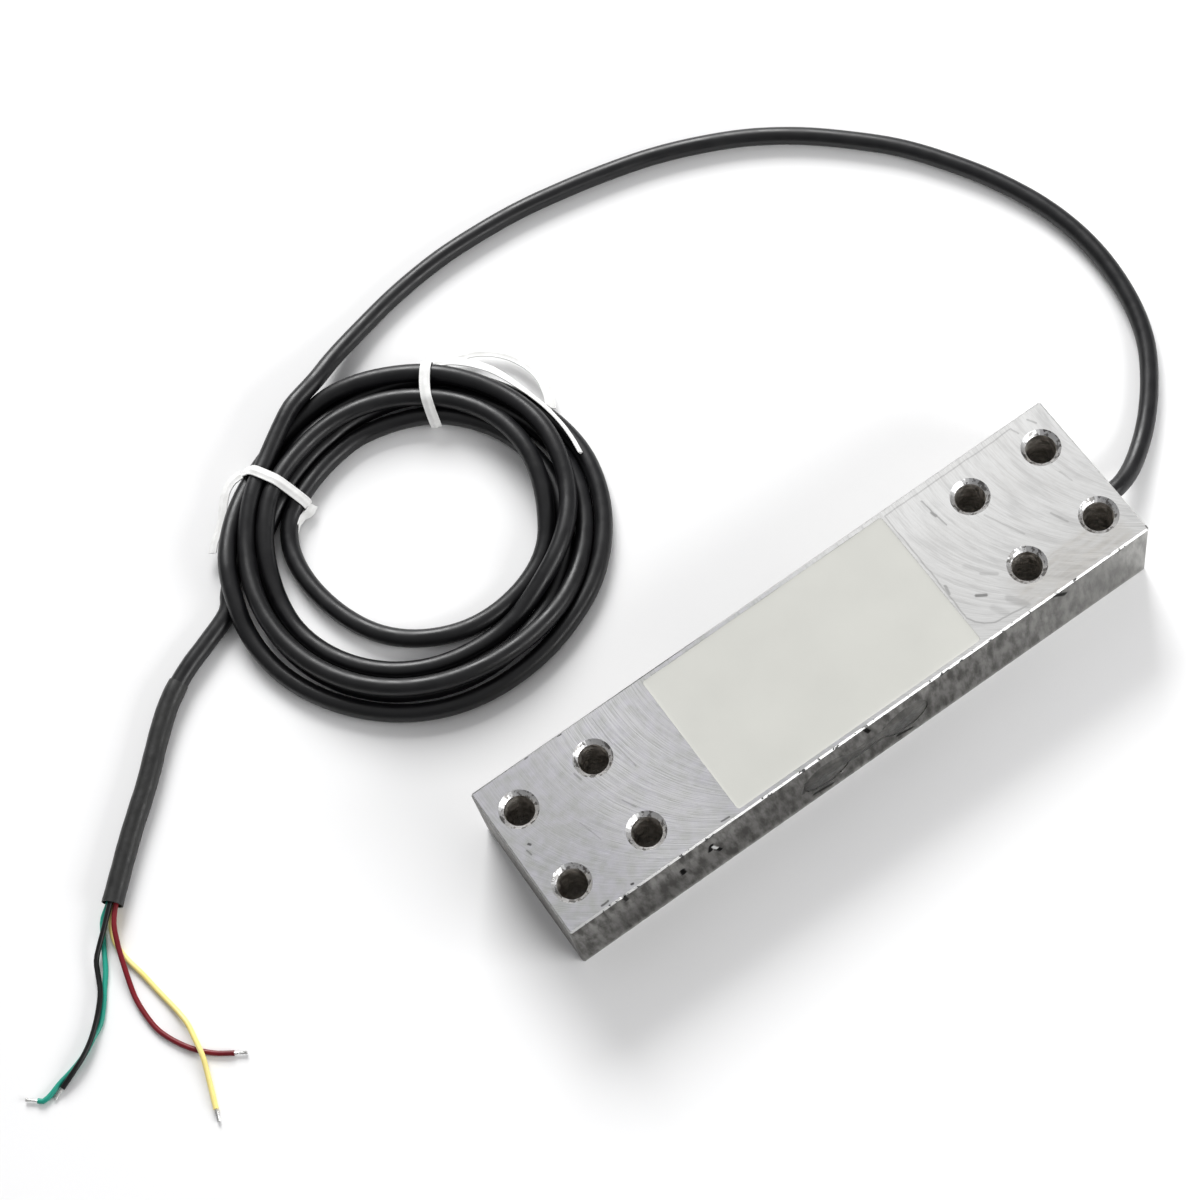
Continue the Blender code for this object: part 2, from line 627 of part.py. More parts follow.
def core_points(colour, tail):
    """A core's path, from the jacket's end inside the sleeve and then along its own route."""
    ahead = (tail[-1] - tail[-2]).normalized()
    up = Vector((0, 0, 1))
    across, above = CORE_SLOTS[colour]
    offset = (ahead.cross(up) * across + up * above) * CORE_SPREAD / 2
    start = tail[-1] - ahead * (SLEEVE_OVERHANG - GAP) + offset
    route = [start, tail[-1] + offset] + in_metres(CORE_ROUTES[colour])
    return smooth_points(route, 3 * CORE_DIAMETER)


def make_cable(finishes):
    lead = smooth_points(in_metres(LEAD_ROUTE), 2.2 * CABLE_DIAMETER)
    tube("cable_lead", lead, CABLE_DIAMETER, finishes["black jacket"])
    make_coil(finishes["black jacket"])

    tail = smooth_points(in_metres(TAIL_ROUTE), CABLE_DIAMETER)
    tube("cable_tail", trimmed(tail, SLEEVE_OVERHANG), CABLE_DIAMETER, finishes["black jacket"])
    make_sleeve(last_stretch(tail, SLEEVE_LENGTH), finishes["shrink sleeve"])

    for colour in CORE_ROUTES:
        points = core_points(colour, tail)
        tube(f"core_{colour}", points, CORE_DIAMETER, finishes[f"{colour} insulation"])
        ahead = (points[-1] - points[-2]).normalized()
        start = points[-1] + ahead * GAP
        tip = [start + ahead * TIP_LENGTH * k / 2 for k in range(3)]
        tube(f"tip_{colour}", tip, TIP_DIAMETER, finishes["tinned wire"])


def make_finishes():
    return {
        "aluminium": material("milled aluminium", (0.62, 0.62, 0.63), 0.38, 1.0),
        "silicone": material("silicone potting", (0.71, 0.71, 0.67), 0.5),
        "seal": material("grey sealing compound", (0.2, 0.19, 0.18), 0.55),
        "black jacket": material("black cable jacket", (0.018, 0.018, 0.02), 0.4),
        "shrink sleeve": material("black shrink sleeve", (0.025, 0.025, 0.025), 0.5),
        "white tie": material("white tie", (0.85, 0.85, 0.84), 0.5),
        "gauge foil": material("gauge foil", (0.66, 0.42, 0.16), 0.4),
        "board": material("solder board", (0.1, 0.28, 0.12), 0.5),
        "resistor": material("trim resistor", (0.05, 0.05, 0.05), 0.4),
        "enamelled wire": material("enamelled wire", (0.5, 0.2, 0.08), 0.35, 1.0),
        "tinned wire": material("tinned wire", (0.75, 0.75, 0.74), 0.3, 1.0),
        "red insulation": material("red insulation", (0.5, 0.015, 0.03), 0.4),
        "yellow insulation": material("yellow insulation", (0.85, 0.7, 0.12), 0.4),
        "black insulation": material("black insulation", (0.012, 0.012, 0.012), 0.4),
        "green insulation": material("green insulation", (0.01, 0.28, 0.17), 0.4),
    }


def build():
    clear_scene()
    finishes = make_finishes()
    make_spring_element(finishes["aluminium"])
    make_side_seals(finishes["seal"])
    make_bridge(1, "top", finishes)
    make_bridge(-1, "bottom", finishes)
    make_cable_seal(finishes["seal"])
    make_cable(finishes)
    for name in TIE_ANGLES:
        make_tie(name, finishes["white tie"])


build()
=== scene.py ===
"""Looks of the single point load cell: milled bar, potted gauges, coiled cable and bare cores."""
import json
from math import copysign, cos, exp, hypot, pi, radians, sin, tau

import bmesh
import bpy
import numpy as np
from mathutils import Matrix, Vector

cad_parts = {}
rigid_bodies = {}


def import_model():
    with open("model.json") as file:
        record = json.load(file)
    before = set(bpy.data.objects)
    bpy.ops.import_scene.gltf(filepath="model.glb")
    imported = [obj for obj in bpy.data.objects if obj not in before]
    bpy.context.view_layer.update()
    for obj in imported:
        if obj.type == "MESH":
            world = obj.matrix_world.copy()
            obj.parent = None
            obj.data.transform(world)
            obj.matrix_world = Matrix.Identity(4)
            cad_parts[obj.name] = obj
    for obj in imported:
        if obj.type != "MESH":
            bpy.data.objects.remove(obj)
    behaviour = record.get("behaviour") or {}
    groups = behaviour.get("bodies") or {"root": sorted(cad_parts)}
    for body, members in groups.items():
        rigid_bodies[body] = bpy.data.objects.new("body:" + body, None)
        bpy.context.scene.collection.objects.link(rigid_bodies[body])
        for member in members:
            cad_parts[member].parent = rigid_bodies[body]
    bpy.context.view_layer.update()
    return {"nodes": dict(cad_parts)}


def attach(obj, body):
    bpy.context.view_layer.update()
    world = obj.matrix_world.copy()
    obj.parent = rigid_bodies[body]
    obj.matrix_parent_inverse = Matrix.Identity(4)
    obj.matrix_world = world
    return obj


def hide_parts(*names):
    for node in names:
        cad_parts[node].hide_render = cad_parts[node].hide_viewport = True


MM = 0.001
UP = Vector((0, 0, 1))
ORIGIN = (0.0, 0.0, 0.0)

# The bar in millimetres: its size, and where its holes lie, along it and to both sides of its middle
BAR_LENGTH = 150
BAR_WIDTH = 38
BAR_HEIGHT = 22
HOLE_ROWS = (-68.5, -49.5, 49.5, 68.5)
HOLE_SIDE = 10

# Cable and cores, and the steps of their paths
CABLE_DIAMETER = 4.2 * MM
CABLE_STEP = 2.0 * MM
CORE_DIAMETER = 1.2 * MM
CORE_STEP = 1.2 * MM

# Heights in millimetres of the cable and of a core on the floor, where a point with no height lies
FLOOR_HEIGHT = 2.15
CORE_REST = 0.65

# Lead from the bar to the coil, in millimetres
LEAD_ROUTE = [
    (75, -2.5, 7), (79.6, -2.2, 6.4), (84.6, -0.4, 4.6), (90.2, 3.1, 2.9), (96.7, 8.4, 2.2),
    (103.4, 15.8), (108.9, 24.2), (112.6, 35), (114.2, 49.2), (112.6, 63), (108, 76.7), (102.2, 88.1),
    (95.5, 98.5), (87.6, 107.5), (79.1, 115.7), (69.6, 122.8), (59.2, 128.5), (48, 133.2), (36, 136.7),
    (25.9, 139), (15.6, 140.8), (4.8, 141.7), (-7, 141.8), (-20.1, 140.3), (-30.6, 137.9, 2.4),
    (-41.0, 134.5, 3.8),
]

# Tail from the coil to the jacket's end inside the sleeve, in millimetres
TAIL_ROUTE = [
    (-102.5, 92.5, 2.3), (-108.3, 90.2, 2.6), (-112.5, 88.1, 2.7), (-117.2, 85.0, 2.8),
    (-123.2, 79.6, 2.8), (-130.3, 72.5, 2.8), (-139.7, 64.1, 2.8), (-151.4, 52.8, 2.8),
]

# The coil's centre in millimetres, and how many degrees apart the points of its turns are
COIL_CENTRE = (-52, 85)
COIL_STEP = 5

# How the turns settle: their spacing in millimetres, the rounds in all and those with pulls, how much
# of the way to an even line and to the wanted radius each pull goes, and how far a turn sinks
STRAND_SPACING = 4.2
ROUNDS = 400
PULLED_ROUNDS = 340
EVEN_PULL = 0.25
RADIUS_PULL = 0.04
SINKING = 0.02

# The winding from the lead to the tail: angle in degrees, radius and height in millimetres
WINDING = [
    # The lead comes in low and climbs over the outer turns
    (85, 47.2, 5.4), (90, 45.2, 6.1), (95, 43.1, 6.35), (100, 40.9, 6.4), (105, 39.6, 6.35),
    (110, 38.3, 6.3), (120, 37.3, 6.2),
    # Turn 1 lies on top, second from the outside, and sinks under its neighbours on the right
    (135, 36.9, 5.8), (150, 36.4, 5.6), (180, 36.4, 5.3), (210, 36.5, 5.3), (240, 36.6, 5.3),
    (255, 36.6, 5.3), (270, 37.1, 5.4), (285, 37.6, 5.5), (300, 38.7, 5.6), (315, 40.1, 5.8),
    (330, 41.6, 6.0), (345, 42.1, 5.7), (360, 40.6, 4.6), (370, 39.2, 3.6),
    # Turn 2 is hidden: on the floor under the others
    (390, 37.9), (405, 37.0), (420, 36.2), (435, 35.2), (450, 33.7), (465, 32.8), (480, 32.2),
    (495, 33.2), (510, 35.0), (525, 36.2), (540, 36.4), (630, 36.4), (660, 36.0), (690, 35.4),
    (705, 34.8),
    # Turn 3 comes out on the inner side, and runs as the loose strand
    (720, 34.4), (740, 34.1), (750, 33.1), (765, 31.8), (780, 30.5), (800, 29.9), (820, 29.3),
    (830, 29.0), (840, 28.9), (850, 29.6), (860, 29.0), (870, 26.7), (880, 25.1), (890, 23.8),
    (900, 22.8), (915, 22.2), (930, 22.3), (945, 22.9), (960, 23.4), (975, 24.2), (990, 25.8),
    (1005, 27.0), (1020, 28.7, 2.4), (1035, 30.9, 2.9), (1050, 32.5, 3.6), (1065, 33.1, 4.8),
    # Turn 4 climbs on top of the right side and comes down third from the outside
    (1080, 34.0, 6.0), (1100, 34.8, 6.0), (1140, 34.9, 5.9), (1160, 34.7, 5.8), (1180, 33.9, 5.7),
    (1200, 33.4, 5.6), (1215, 33.4, 4.4), (1230, 33.1, 2.6), (1245, 32.8), (1260, 32.4), (1275, 31.9),
    (1290, 31.4), (1305, 31.1), (1320, 30.9), (1335, 30.7), (1350, 30.5), (1365, 31.4, 2.6),
    (1380, 33.2, 4.6), (1395, 35.0, 5.9), (1410, 36.6, 6.0), (1425, 38.4, 6.0),
    # Turn 5 lies on top as the outermost, drops to the floor and stays outermost
    (1440, 40.1, 6.0), (1460, 40.7, 6.0), (1470, 40.6, 5.9), (1485, 40.5, 5.8), (1500, 40.4, 5.6),
    (1515, 40.6, 4.4), (1530, 41.0, 2.6), (1545, 40.2), (1560, 38.9), (1575, 39.9, 3.0),
    (1590, 41.3, 5.0), (1603, 41.9, 6.0), (1620, 42.0, 3.9), (1635, 41.6, 2.2), (1650, 40.9),
    (1665, 40.8), (1685, 41.4), (1700, 41.4), (1710, 41.2), (1725, 41.6), (1740, 42.4), (1755, 43.0),
    (1770, 43.6), (1785, 43.2),
    # Turn 6 is hidden under the outermost, and leaves under the left side as the tail
    (1800, 42.8), (1815, 42.2), (1830, 41.8), (1845, 41.3), (1860, 40.6), (1875, 39.4), (1890, 37.9),
    (1905, 36.7), (1920, 35.9), (1935, 36.8), (1950, 39.6), (1960, 42.8), (1969, 45.9),
]

# Where the ties' straps pass under the coil: the bearing in degrees, how many millimetres they lift it,
# and over what spread in degrees
TIE_BEARINGS = (46, 122)
TIE_LIFT = 0.85
TIE_SPREAD = 13

# The straps' width and thickness in millimetres, the step of their paths, the points round each strand
# that a loop is drawn round, and how far beyond its two ends a loop still takes strands in
TIE_WIDTH = 2.5
TIE_THICKNESS = 0.42
STRAP_STEP = 0.8 * MM
STRAP_ROUND = 36
STRAP_REACH = 6 * MM

# Each tie by its strap's outer and inner place, how far the strap bows sideways, and the path of its
# tails as place and tilt, in millimetres and degrees
TIES = {
    "tie_right": {
        "outer": (-25.0, 117.2),
        "inner": (-31.5, 104.1),
        "bow": -1.1,
        "tails": [
            [(-23.4, 118.0, 5.4, 10), (-20.6, 116.6, 5.3, 15), (-18.0, 114.6, 5.0, 20),
             (-15.7, 112.2, 4.6, 25), (-13.6, 109.2, 4.4, 30), (-12.1, 105.9, 4.3, 40),
             (-10.9, 102.0, 4.3, 50), (-9.8, 98.0, 4.4, 58), (-8.7, 93.0, 4.5, 60),
             (-8.1, 87.5, 4.5, 62), (-8.2, 82.5, 4.5, 62), (-8.7, 78.5, 4.4, 62)],
            [(-23.4, 118.0, 3.4, 15), (-18.6, 117.6, 2.6, 8), (-12.8, 115.4, 2.3, 5), (-8.4, 111.2, 2.3, 5),
             (-6.0, 106.4, 2.5, 5), (-5.2, 102.6, 2.7, 5), (-5.3, 99.5, 2.7, 8), (-6.2, 96.0, 2.4, 12),
             (-7.6, 93.2, 2.0, 15)],
        ],
    },
    "tie_left": {
        "outer": (-72.6, 120.6),
        "inner": (-65.6, 106.7),
        "bow": 0.3,
        "tails": [
            [(-74.2, 121.8, 5.2, -10), (-77.0, 121.6, 5.0, -15), (-79.5, 120.2, 4.8, -20),
             (-81.7, 117.9, 4.5, -25), (-83.9, 115.2, 4.2, -30), (-86.2, 113.2, 4.0, -30),
             (-88.5, 111.3, 3.8, -30), (-89.8, 109.9, 3.6, -30)],
            [(-64.8, 106.4, 2.6, 40), (-66.3, 105.4, 2.4, 60), (-68.2, 105.4, 2.2, 80),
             (-70.4, 104.2, 2.0, 90), (-71.8, 102.6, 1.8, 90)],
        ],
    },
}

# Shrink sleeve over the cable's end, in millimetres; its shoulder and flare by length and height
SLEEVE_LENGTH = 52.5
SLEEVE_RADIUS = 2.4
SLEEVE_WALL = 0.24
SLEEVE_OVERHANG = 3.0
SLEEVE_HEIGHT = 2.47
SLEEVE_SHOULDER = (5, 0.1)
SLEEVE_FLARE = (3, 0.06)
SLEEVE_RIPPLE = 0.035
SLEEVE_SIDES = 28
SLEEVE_STEP = 0.75 * MM

# Where each core sits in the sleeve, across and up, and its route once it has left it
CORE_SPREAD = 1.6
CORE_SLOTS = {"red": (-1.15, 0.45), "yellow": (-0.2, -1.05), "black": (0.35, 1.0), "green": (1.2, -0.25)}
CORE_ROUTES = {
    "red": [
        (-153.4, 48.5, 2.8), (-155.1, 44.2, 2.4), (-156.2, 40.6, 1.9), (-157.5, 35.8, 1.1),
        (-158.2, 32.2, 0.75), (-158.3, 27.5), (-157.8, 23.3), (-156.2, 19.2), (-153.6, 15.0),
        (-150.4, 11.6), (-148.4, 10.1), (-146.9, 9.1),
    ],
    "yellow": [
        (-153.9, 49.9, 1.1), (-155.3, 46.6, 0.7), (-155.5, 43.1), (-155.1, 40.2), (-154.2, 36.0),
        (-153.2, 29.9), (-152.2, 24.4, 0.9), (-151.8, 20.3, 1.5), (-152.2, 16.2, 2.0),
        (-152.8, 12.0, 1.95), (-154.5, 7.0, 1.0), (-156.5, 1.1),
    ],
    "black": [
        (-155.5, 49.3, 2.7), (-158.3, 46.8, 2.2), (-160.9, 44.2, 1.7), (-162.4, 40.8, 1.6),
        (-163.7, 37.7, 1.8), (-165.9, 34.7, 1.85), (-168.4, 32.0, 1.8), (-171.2, 29.5, 1.8),
        (-174.1, 27.6, 1.85), (-177.5, 26.1, 1.6), (-181.4, 24.7, 0.9),
    ],
    "green": [
        (-154.9, 51.6, 1.4), (-156.7, 48.9, 0.8), (-158.7, 45.0), (-160.4, 41.6), (-162.7, 38.2),
        (-165.0, 34.8), (-167.4, 32.0), (-170.4, 30.2), (-173.9, 28.2), (-177.6, 26.9), (-181.4, 26.0),
        (-184.4, 25.0), (-186.2, 24.8), (-187.2, 25.6),
    ],
}

# Tinned strands at each core's end, in millimetres, but their distance from the middle one in radii
STRAND_RADIUS = 0.11
STRAND_LAY = 4.0
STRAND_GAP = 2.05
TIP_LENGTH = 3.4
TIP_START = -0.6
TIP_STEPS = 14

# The silicone in millimetres: half its length and width, corner radius and depth; how far its mesh lines
# are from a wall, and how many lie between; how far its face sinks, draws up at a wall, and waves
POTTING_HALVES = (31.48, 17.78)
POTTING_CORNER = 0.8
POTTING_DEPTH = 3.2
POTTING_LINES = (0, 0.06, 0.15, 0.3, 0.55, 0.9, 1.4, 2.1, 3.0)
POTTING_MIDDLE_LINES = (40, 22)
POTTING_SINK = 0.1
POTTING_DRAW = 0.085
POTTING_DRAW_REACH = 0.35
POTTING_WAVE = 0.018

# How far the compound in the side is drawn out to the bar
SEAM_CLOSING = 0.26 * MM

# Threads in the eight holes, in millimetres
THREAD_PITCH = 1.25
THREAD_CREST = 3.2
THREAD_ROOT = 3.37
THREAD_WALL = 3.39
THREAD_ENDS = (1.03, 20.97)
THREAD_RUN_OUT = 1.2
THREAD_ROWS = 82
THREAD_STEPS = 26

# The camera's fit to the photograph: place in metres, axes, and lens and frame in millimetres
CAMERA_PLACE = (-0.105809, -0.209383, 0.622259)
CAMERA_RIGHT = (0.8188916, -0.56009079, -0.1253589)
CAMERA_UP = (0.56146591, 0.73643712, 0.37738097)
CAMERA_BACK = (-0.11904866, -0.37941886, 0.91753406)
CAMERA_LENS = 91.06
CAMERA_FRAME = 36

# The room: the direction in which it is brightest, and its darkest and brightest tone
SKY_AIM = (0.25, 0.4, 0.88)
SKY_LOW = (0.22, 0.22, 0.225)
SKY_HIGH = (0.54, 0.54, 0.545)

# Soft boxes: place and size in metres, power in watts
LIGHTS = [
    ("key_box", (0.42, 1.2, 0.85), (0.8, 0.7), 27.0),
    ("front_box", (0.22, -0.42, 0.3), (0.45, 0.2), 2.1),
    ("low_strip", (0.75, -1.0, 0.45), (0.8, 0.25), 1.5),
]
FLOOR_HALF = 3.0


def clear_scene():
    for item in list(bpy.data.objects):
        bpy.data.objects.remove(item, do_unlink=True)


def metres(route, resting=FLOOR_HEIGHT):
    """A route's points in metres, with the resting height for those that have none."""
    return [Vector((*point, resting)[:3]) * MM for point in route]


def circle(steps):
    """Evenly spread angles of one turn."""
    return [tau * k / steps for k in range(steps)]


def smooth_points(knots, spacing):
    """Even points along a centripetal Catmull-Rom curve through the knots."""
    knots = [2 * knots[0] - knots[1]] + list(knots) + [2 * knots[-1] - knots[-2]]
    dense = []

    def between(a, b, start, stop, t):
        return a * ((stop - t) / (stop - start)) + b * ((t - start) / (stop - start))

    for p0, p1, p2, p3 in zip(knots, knots[1:], knots[2:], knots[3:]):
        t1 = (p1 - p0).length ** 0.5
        t2 = t1 + (p2 - p1).length ** 0.5
        t3 = t2 + (p3 - p2).length ** 0.5
        for k in range(16):
            t = t1 + (t2 - t1) * k / 16
            middle = between(p1, p2, t1, t2, t)
            near = between(between(p0, p1, 0, t1, t), middle, 0, t2, t)
            far = between(middle, between(p2, p3, t2, t3, t), t1, t3, t)
            dense.append(between(near, far, t1, t2, t))
    return even_points(dense + [knots[-2]], spacing)


def even_points(points, spacing):
    lengths = [(b - a).length for a, b in zip(points, points[1:])]
    count = max(2, round(sum(lengths) / spacing))
    step = sum(lengths) / count
    result = [points[0]]
    walked = 0.0
    for a, b, length in zip(points, points[1:], lengths):
        while len(result) < count and walked + length >= step * len(result):
            result.append(a.lerp(b, (step * len(result) - walked) / length))
        walked += length
    return result + [points[-1]]


def path_length(points):
    return sum((b - a).length for a, b in zip(points, points[1:]))


def settled_winding():
    """The coil's turns, pushed apart where they touch and let down on what carries them."""
    table = np.array([(*row, FLOOR_HEIGHT)[:3] for row in WINDING], dtype=float)
    angles = np.arange(table[0, 0], table[-1, 0] + 0.5, COIL_STEP)
    wanted = np.column_stack([np.interp(angles, table[:, 0], table[:, k]) for k in (1, 2)])
    kernel = np.array([1, 2, 3, 2, 1]) / 9
    padded = np.pad(wanted, ((2, 2), (0, 0)), mode="edge")
    wanted = np.column_stack([np.convolve(padded[:, k], kernel, "valid") for k in (0, 1)])
    place = wanted.copy()
    floor = np.full(len(angles), FLOOR_HEIGHT)
    for bearing in TIE_BEARINGS:
        away = (angles - bearing + 180) % 360 - 180
        floor += TIE_LIFT * np.exp(-(away / TIE_SPREAD) ** 2)
    turn = 360 // COIL_STEP
    count = len(place)
    for round_number in range(ROUNDS):
        push = np.zeros_like(place)
        hits = np.zeros(count)
        for lap in range(turn, count, turn):
            lower, upper = slice(None, -lap), slice(lap, None)
            apart = place[upper] - place[lower]
            distance = np.maximum(np.hypot(apart[:, 0], apart[:, 1]), 1e-6)
            overlap = np.maximum(STRAND_SPACING - distance, 0)
            shove = apart / distance[:, None] * overlap[:, None] / 2
            for run, sign in ((lower, -1), (upper, 1)):
                push[run] += sign * shove
                hits[run] += overlap > 0
        place += push / np.maximum(hits, 1)[:, None]
        if round_number < PULLED_ROUNDS:
            middle = (place[:-2] + place[2:]) / 2
            place[1:-1] += (middle - place[1:-1]) * EVEN_PULL
            place[2:-2, 0] += (wanted[2:-2, 0] - place[2:-2, 0]) * RADIUS_PULL
            place[2:-2, 1] -= SINKING
        place[:2], place[-2:] = wanted[:2], wanted[-2:]
        place[:, 1] = np.maximum(place[:, 1], floor)
    return [spot_round(*COIL_CENTRE, radius, angle, height)
            for angle, (radius, height) in zip(np.radians(angles), place)]


def spot_round(x, y, radius, angle, height):
    return Vector((x + radius * cos(angle), y + radius * sin(angle), height)) * MM


def linked(name, data):
    """A new object, put in the scene."""
    result = bpy.data.objects.new(name, data)
    bpy.context.scene.collection.objects.link(result)
    return result


def fitted(piece, slot, *nodes):
    """A piece on the one body, with the CAD nodes that it stands for hidden; the slot is not used."""
    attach(piece, "root")
    if nodes:
        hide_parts(*nodes)
    return piece


def cord_piece(name, points, diameter, finish, slot, *nodes):
    """A round cord along the points."""
    curve = bpy.data.curves.new(name, "CURVE")
    curve.dimensions = "3D"
    curve.bevel_depth = diameter / 2
    curve.bevel_resolution = 6
    curve.use_fill_caps = True
    spline = curve.splines.new("POLY")
    spline.points.add(len(points) - 1)
    for item, point in zip(spline.points, points):
        item.co = (*point, 1.0)
    spline.use_smooth = True
    curve.materials.append(finish)
    return fitted(linked(name, curve), slot, *nodes)


def shape_piece(name, shape, finish, slot, *nodes):
    """A mesh piece, smooth but for its sharp edges."""
    bmesh.ops.recalc_face_normals(shape, faces=shape.faces[:])
    mesh = bpy.data.meshes.new(name)
    shape.to_mesh(mesh)
    shape.free()
    mesh.shade_smooth()
    mesh.set_sharp_from_angle(angle=radians(40))
    mesh.materials.append(finish)
    return fitted(linked(name, mesh), slot, *nodes)


def headings(points, closed=False):
    """The direction of travel at each point of a path."""
    last = len(points) - 1
    result = []
    for i in range(len(points)):
        near, far = (i - 1, (i + 1) % len(points)) if closed else (max(i - 1, 0), min(i + 1, last))
        result.append((points[far] - points[near]).normalized())
    return result


def steady_sides(points):
    """A side direction square to the path at each point, carried along without twist."""
    ahead = headings(points)
    side = ahead[0].cross(UP).normalized()
    sides = [side]
    for near, far in zip(ahead, ahead[1:]):
        side = near.rotation_difference(far) @ side
        side = (side - far * side.dot(far)).normalized()
        sides.append(side)
    return ahead, sides


def skin(shape, rings, closed=False, caps=False):
    """Faces between rings of points, and over both ends where asked."""
    rings = [[shape.verts.new(point) for point in ring] for ring in rings]
    pairs = list(zip(rings, rings[1:]))
    if closed:
        pairs.append((rings[-1], rings[0]))
    for near, far in pairs:
        for k in range(len(near)):
            shape.faces.new((near[k - 1], near[k], far[k], far[k - 1]))
    if caps:
        shape.faces.new(rings[0])
        shape.faces.new(rings[-1])


def round_rings(points, radii, steps):
    """Circles along a path, each of its own radius."""
    ahead, sides = steady_sides(points)
    rings = []
    for point, forward, side, radius in zip(points, ahead, sides, radii):
        up = forward.cross(side)
        rings.append([point + (side * cos(a) + up * sin(a)) * radius for a in circle(steps)])
    return rings


def trimmed(points, amount):
    """The path without its last stretch of the given length."""
    result = list(points)
    while (result[-1] - result[-2]).length < amount:
        amount -= (result[-1] - result[-2]).length
        result.pop()
    result[-1] = result[-1].lerp(result[-2], amount / (result[-1] - result[-2]).length)
    return result


def tail_points():
    """The tail's centreline to the sleeve's open end."""
    route = [(x, y, min(z, SLEEVE_HEIGHT)) for x, y, z in TAIL_ROUTE]
    return smooth_points(metres(route), 1.0 * MM)


def make_cable(finish):
    tail = trimmed(tail_points(), SLEEVE_OVERHANG * MM)
    route = metres(LEAD_ROUTE) + settled_winding()
    points = even_points(smooth_points(route + tail[::6], CABLE_STEP), CABLE_STEP)
    cable = cord_piece("signal_cable", points, CABLE_DIAMETER, finish, "cable_jacket",
                       "cable_lead", "cable_coil", "cable_tail")
    return cable, points


def make_sleeve(finish):
    """A shrink tube: snug on the jacket, with a soft shoulder and an open end that stands off."""
    whole = tail_points()
    points = trimmed(whole[::-1], path_length(whole) - SLEEVE_LENGTH * MM)[::-1]
    points = even_points(points, SLEEVE_STEP)
    shoulder_length, shoulder = SLEEVE_SHOULDER
    flare_length, flare = SLEEVE_FLARE
    radii = []
    for along in np.linspace(0, SLEEVE_LENGTH, len(points)):
        radius = SLEEVE_RADIUS + SLEEVE_RIPPLE * sin(along * 0.9) * sin(along * 0.23 + 1)
        radius -= shoulder * max(0, 1 - along / shoulder_length) ** 2
        radius += flare * max(0, 1 - (SLEEVE_LENGTH - along) / flare_length) ** 2
        radii.append(radius * MM)
    outer = round_rings(points, radii, SLEEVE_SIDES)
    inner = round_rings(points, [radius - SLEEVE_WALL * MM for radius in radii], SLEEVE_SIDES)
    shape = bmesh.new()
    skin(shape, outer + inner[::-1], closed=True)
    return shape_piece("end_sleeve_tube", shape, finish, "shrink_sleeve", "end_sleeve")


def make_tip(colour, start, ahead, finish):
    """Seven tinned strands, twisted together and a little spread at the end."""
    shape = bmesh.new()
    side = ahead.orthogonal().normalized()
    up = ahead.cross(side)
    for strand in range(7):
        path = []
        for i in range(TIP_STEPS + 1):
            share = i / TIP_STEPS
            walk = (share * TIP_LENGTH + TIP_START) * MM
            turn = tau * (strand / 6 + share * TIP_LENGTH / STRAND_LAY)
            fray = 1.1 * max(0, share - 0.75) * (1 + strand % 3)
            reach = STRAND_RADIUS * (STRAND_GAP + fray) * MM if strand < 6 else 0
            path.append(start + ahead * walk + (side * cos(turn) + up * sin(turn)) * reach)
        skin(shape, round_rings(path, [STRAND_RADIUS * MM] * len(path), 8), caps=True)
    return shape_piece(f"strands_{colour}", shape, finish, "tinned_wire", f"tip_{colour}")


def make_core(colour, finish, tip_finish):
    """A core from inside the sleeve to its bare end."""
    tail = tail_points()
    ahead = (tail[-1] - tail[-2]).normalized()
    across, above = CORE_SLOTS[colour]
    offset = (ahead.cross(UP) * across + UP * above) * CORE_SPREAD / 2 * MM
    start = trimmed(tail, (SLEEVE_OVERHANG - 0.3) * MM)[-1] + offset
    route = [start, tail[-1] + offset] + metres(CORE_ROUTES[colour], CORE_REST)
    points = smooth_points(route, CORE_STEP)
    core = cord_piece(f"lead_core_{colour}", points, CORE_DIAMETER, finish, f"{colour}_insulation",
                      f"core_{colour}")
    tip = make_tip(colour, points[-1], headings(points)[-1], tip_finish)
    round(path_length(points), 3)


def strap_section():
    """Outline of a twist tie in metres: two thin flanges and a fuller middle over the wire."""
    upper = [(-0.5, 0.2), (-0.46, 0.42), (-0.24, 0.42), (-0.1, 0.78), (0, 0.9), (0.1, 0.78),
             (0.24, 0.42), (0.46, 0.42), (0.5, 0.2)]
    outline = upper + [(x, -y) for x, y in upper[::-1]]
    return [(x * TIE_WIDTH * MM, y * TIE_THICKNESS * MM) for x, y in outline]


def strap_rings(points, sides, closed=False):
    """Rings of the strap's section; each side direction runs across the strap."""
    rings = []
    for point, ahead, side in zip(points, headings(points, closed), sides):
        side = (side - ahead * side.dot(ahead)).normalized()
        face = ahead.cross(side)
        rings.append([point + side * x + face * y for x, y in strap_section()])
    return rings


def hull(points):
    """Convex outline of flat points, counter-clockwise."""
    points = sorted(set(points))

    def half(run):
        chain = []
        for point in run:
            while len(chain) > 1:
                (ax, ay), (bx, by) = chain[-2], chain[-1]
                if (bx - ax) * (point[1] - ay) - (by - ay) * (point[0] - ax) > 0:
                    break
                chain.pop()
            chain.append(point)
        return chain[:-1]

    return half(points) + half(points[::-1])


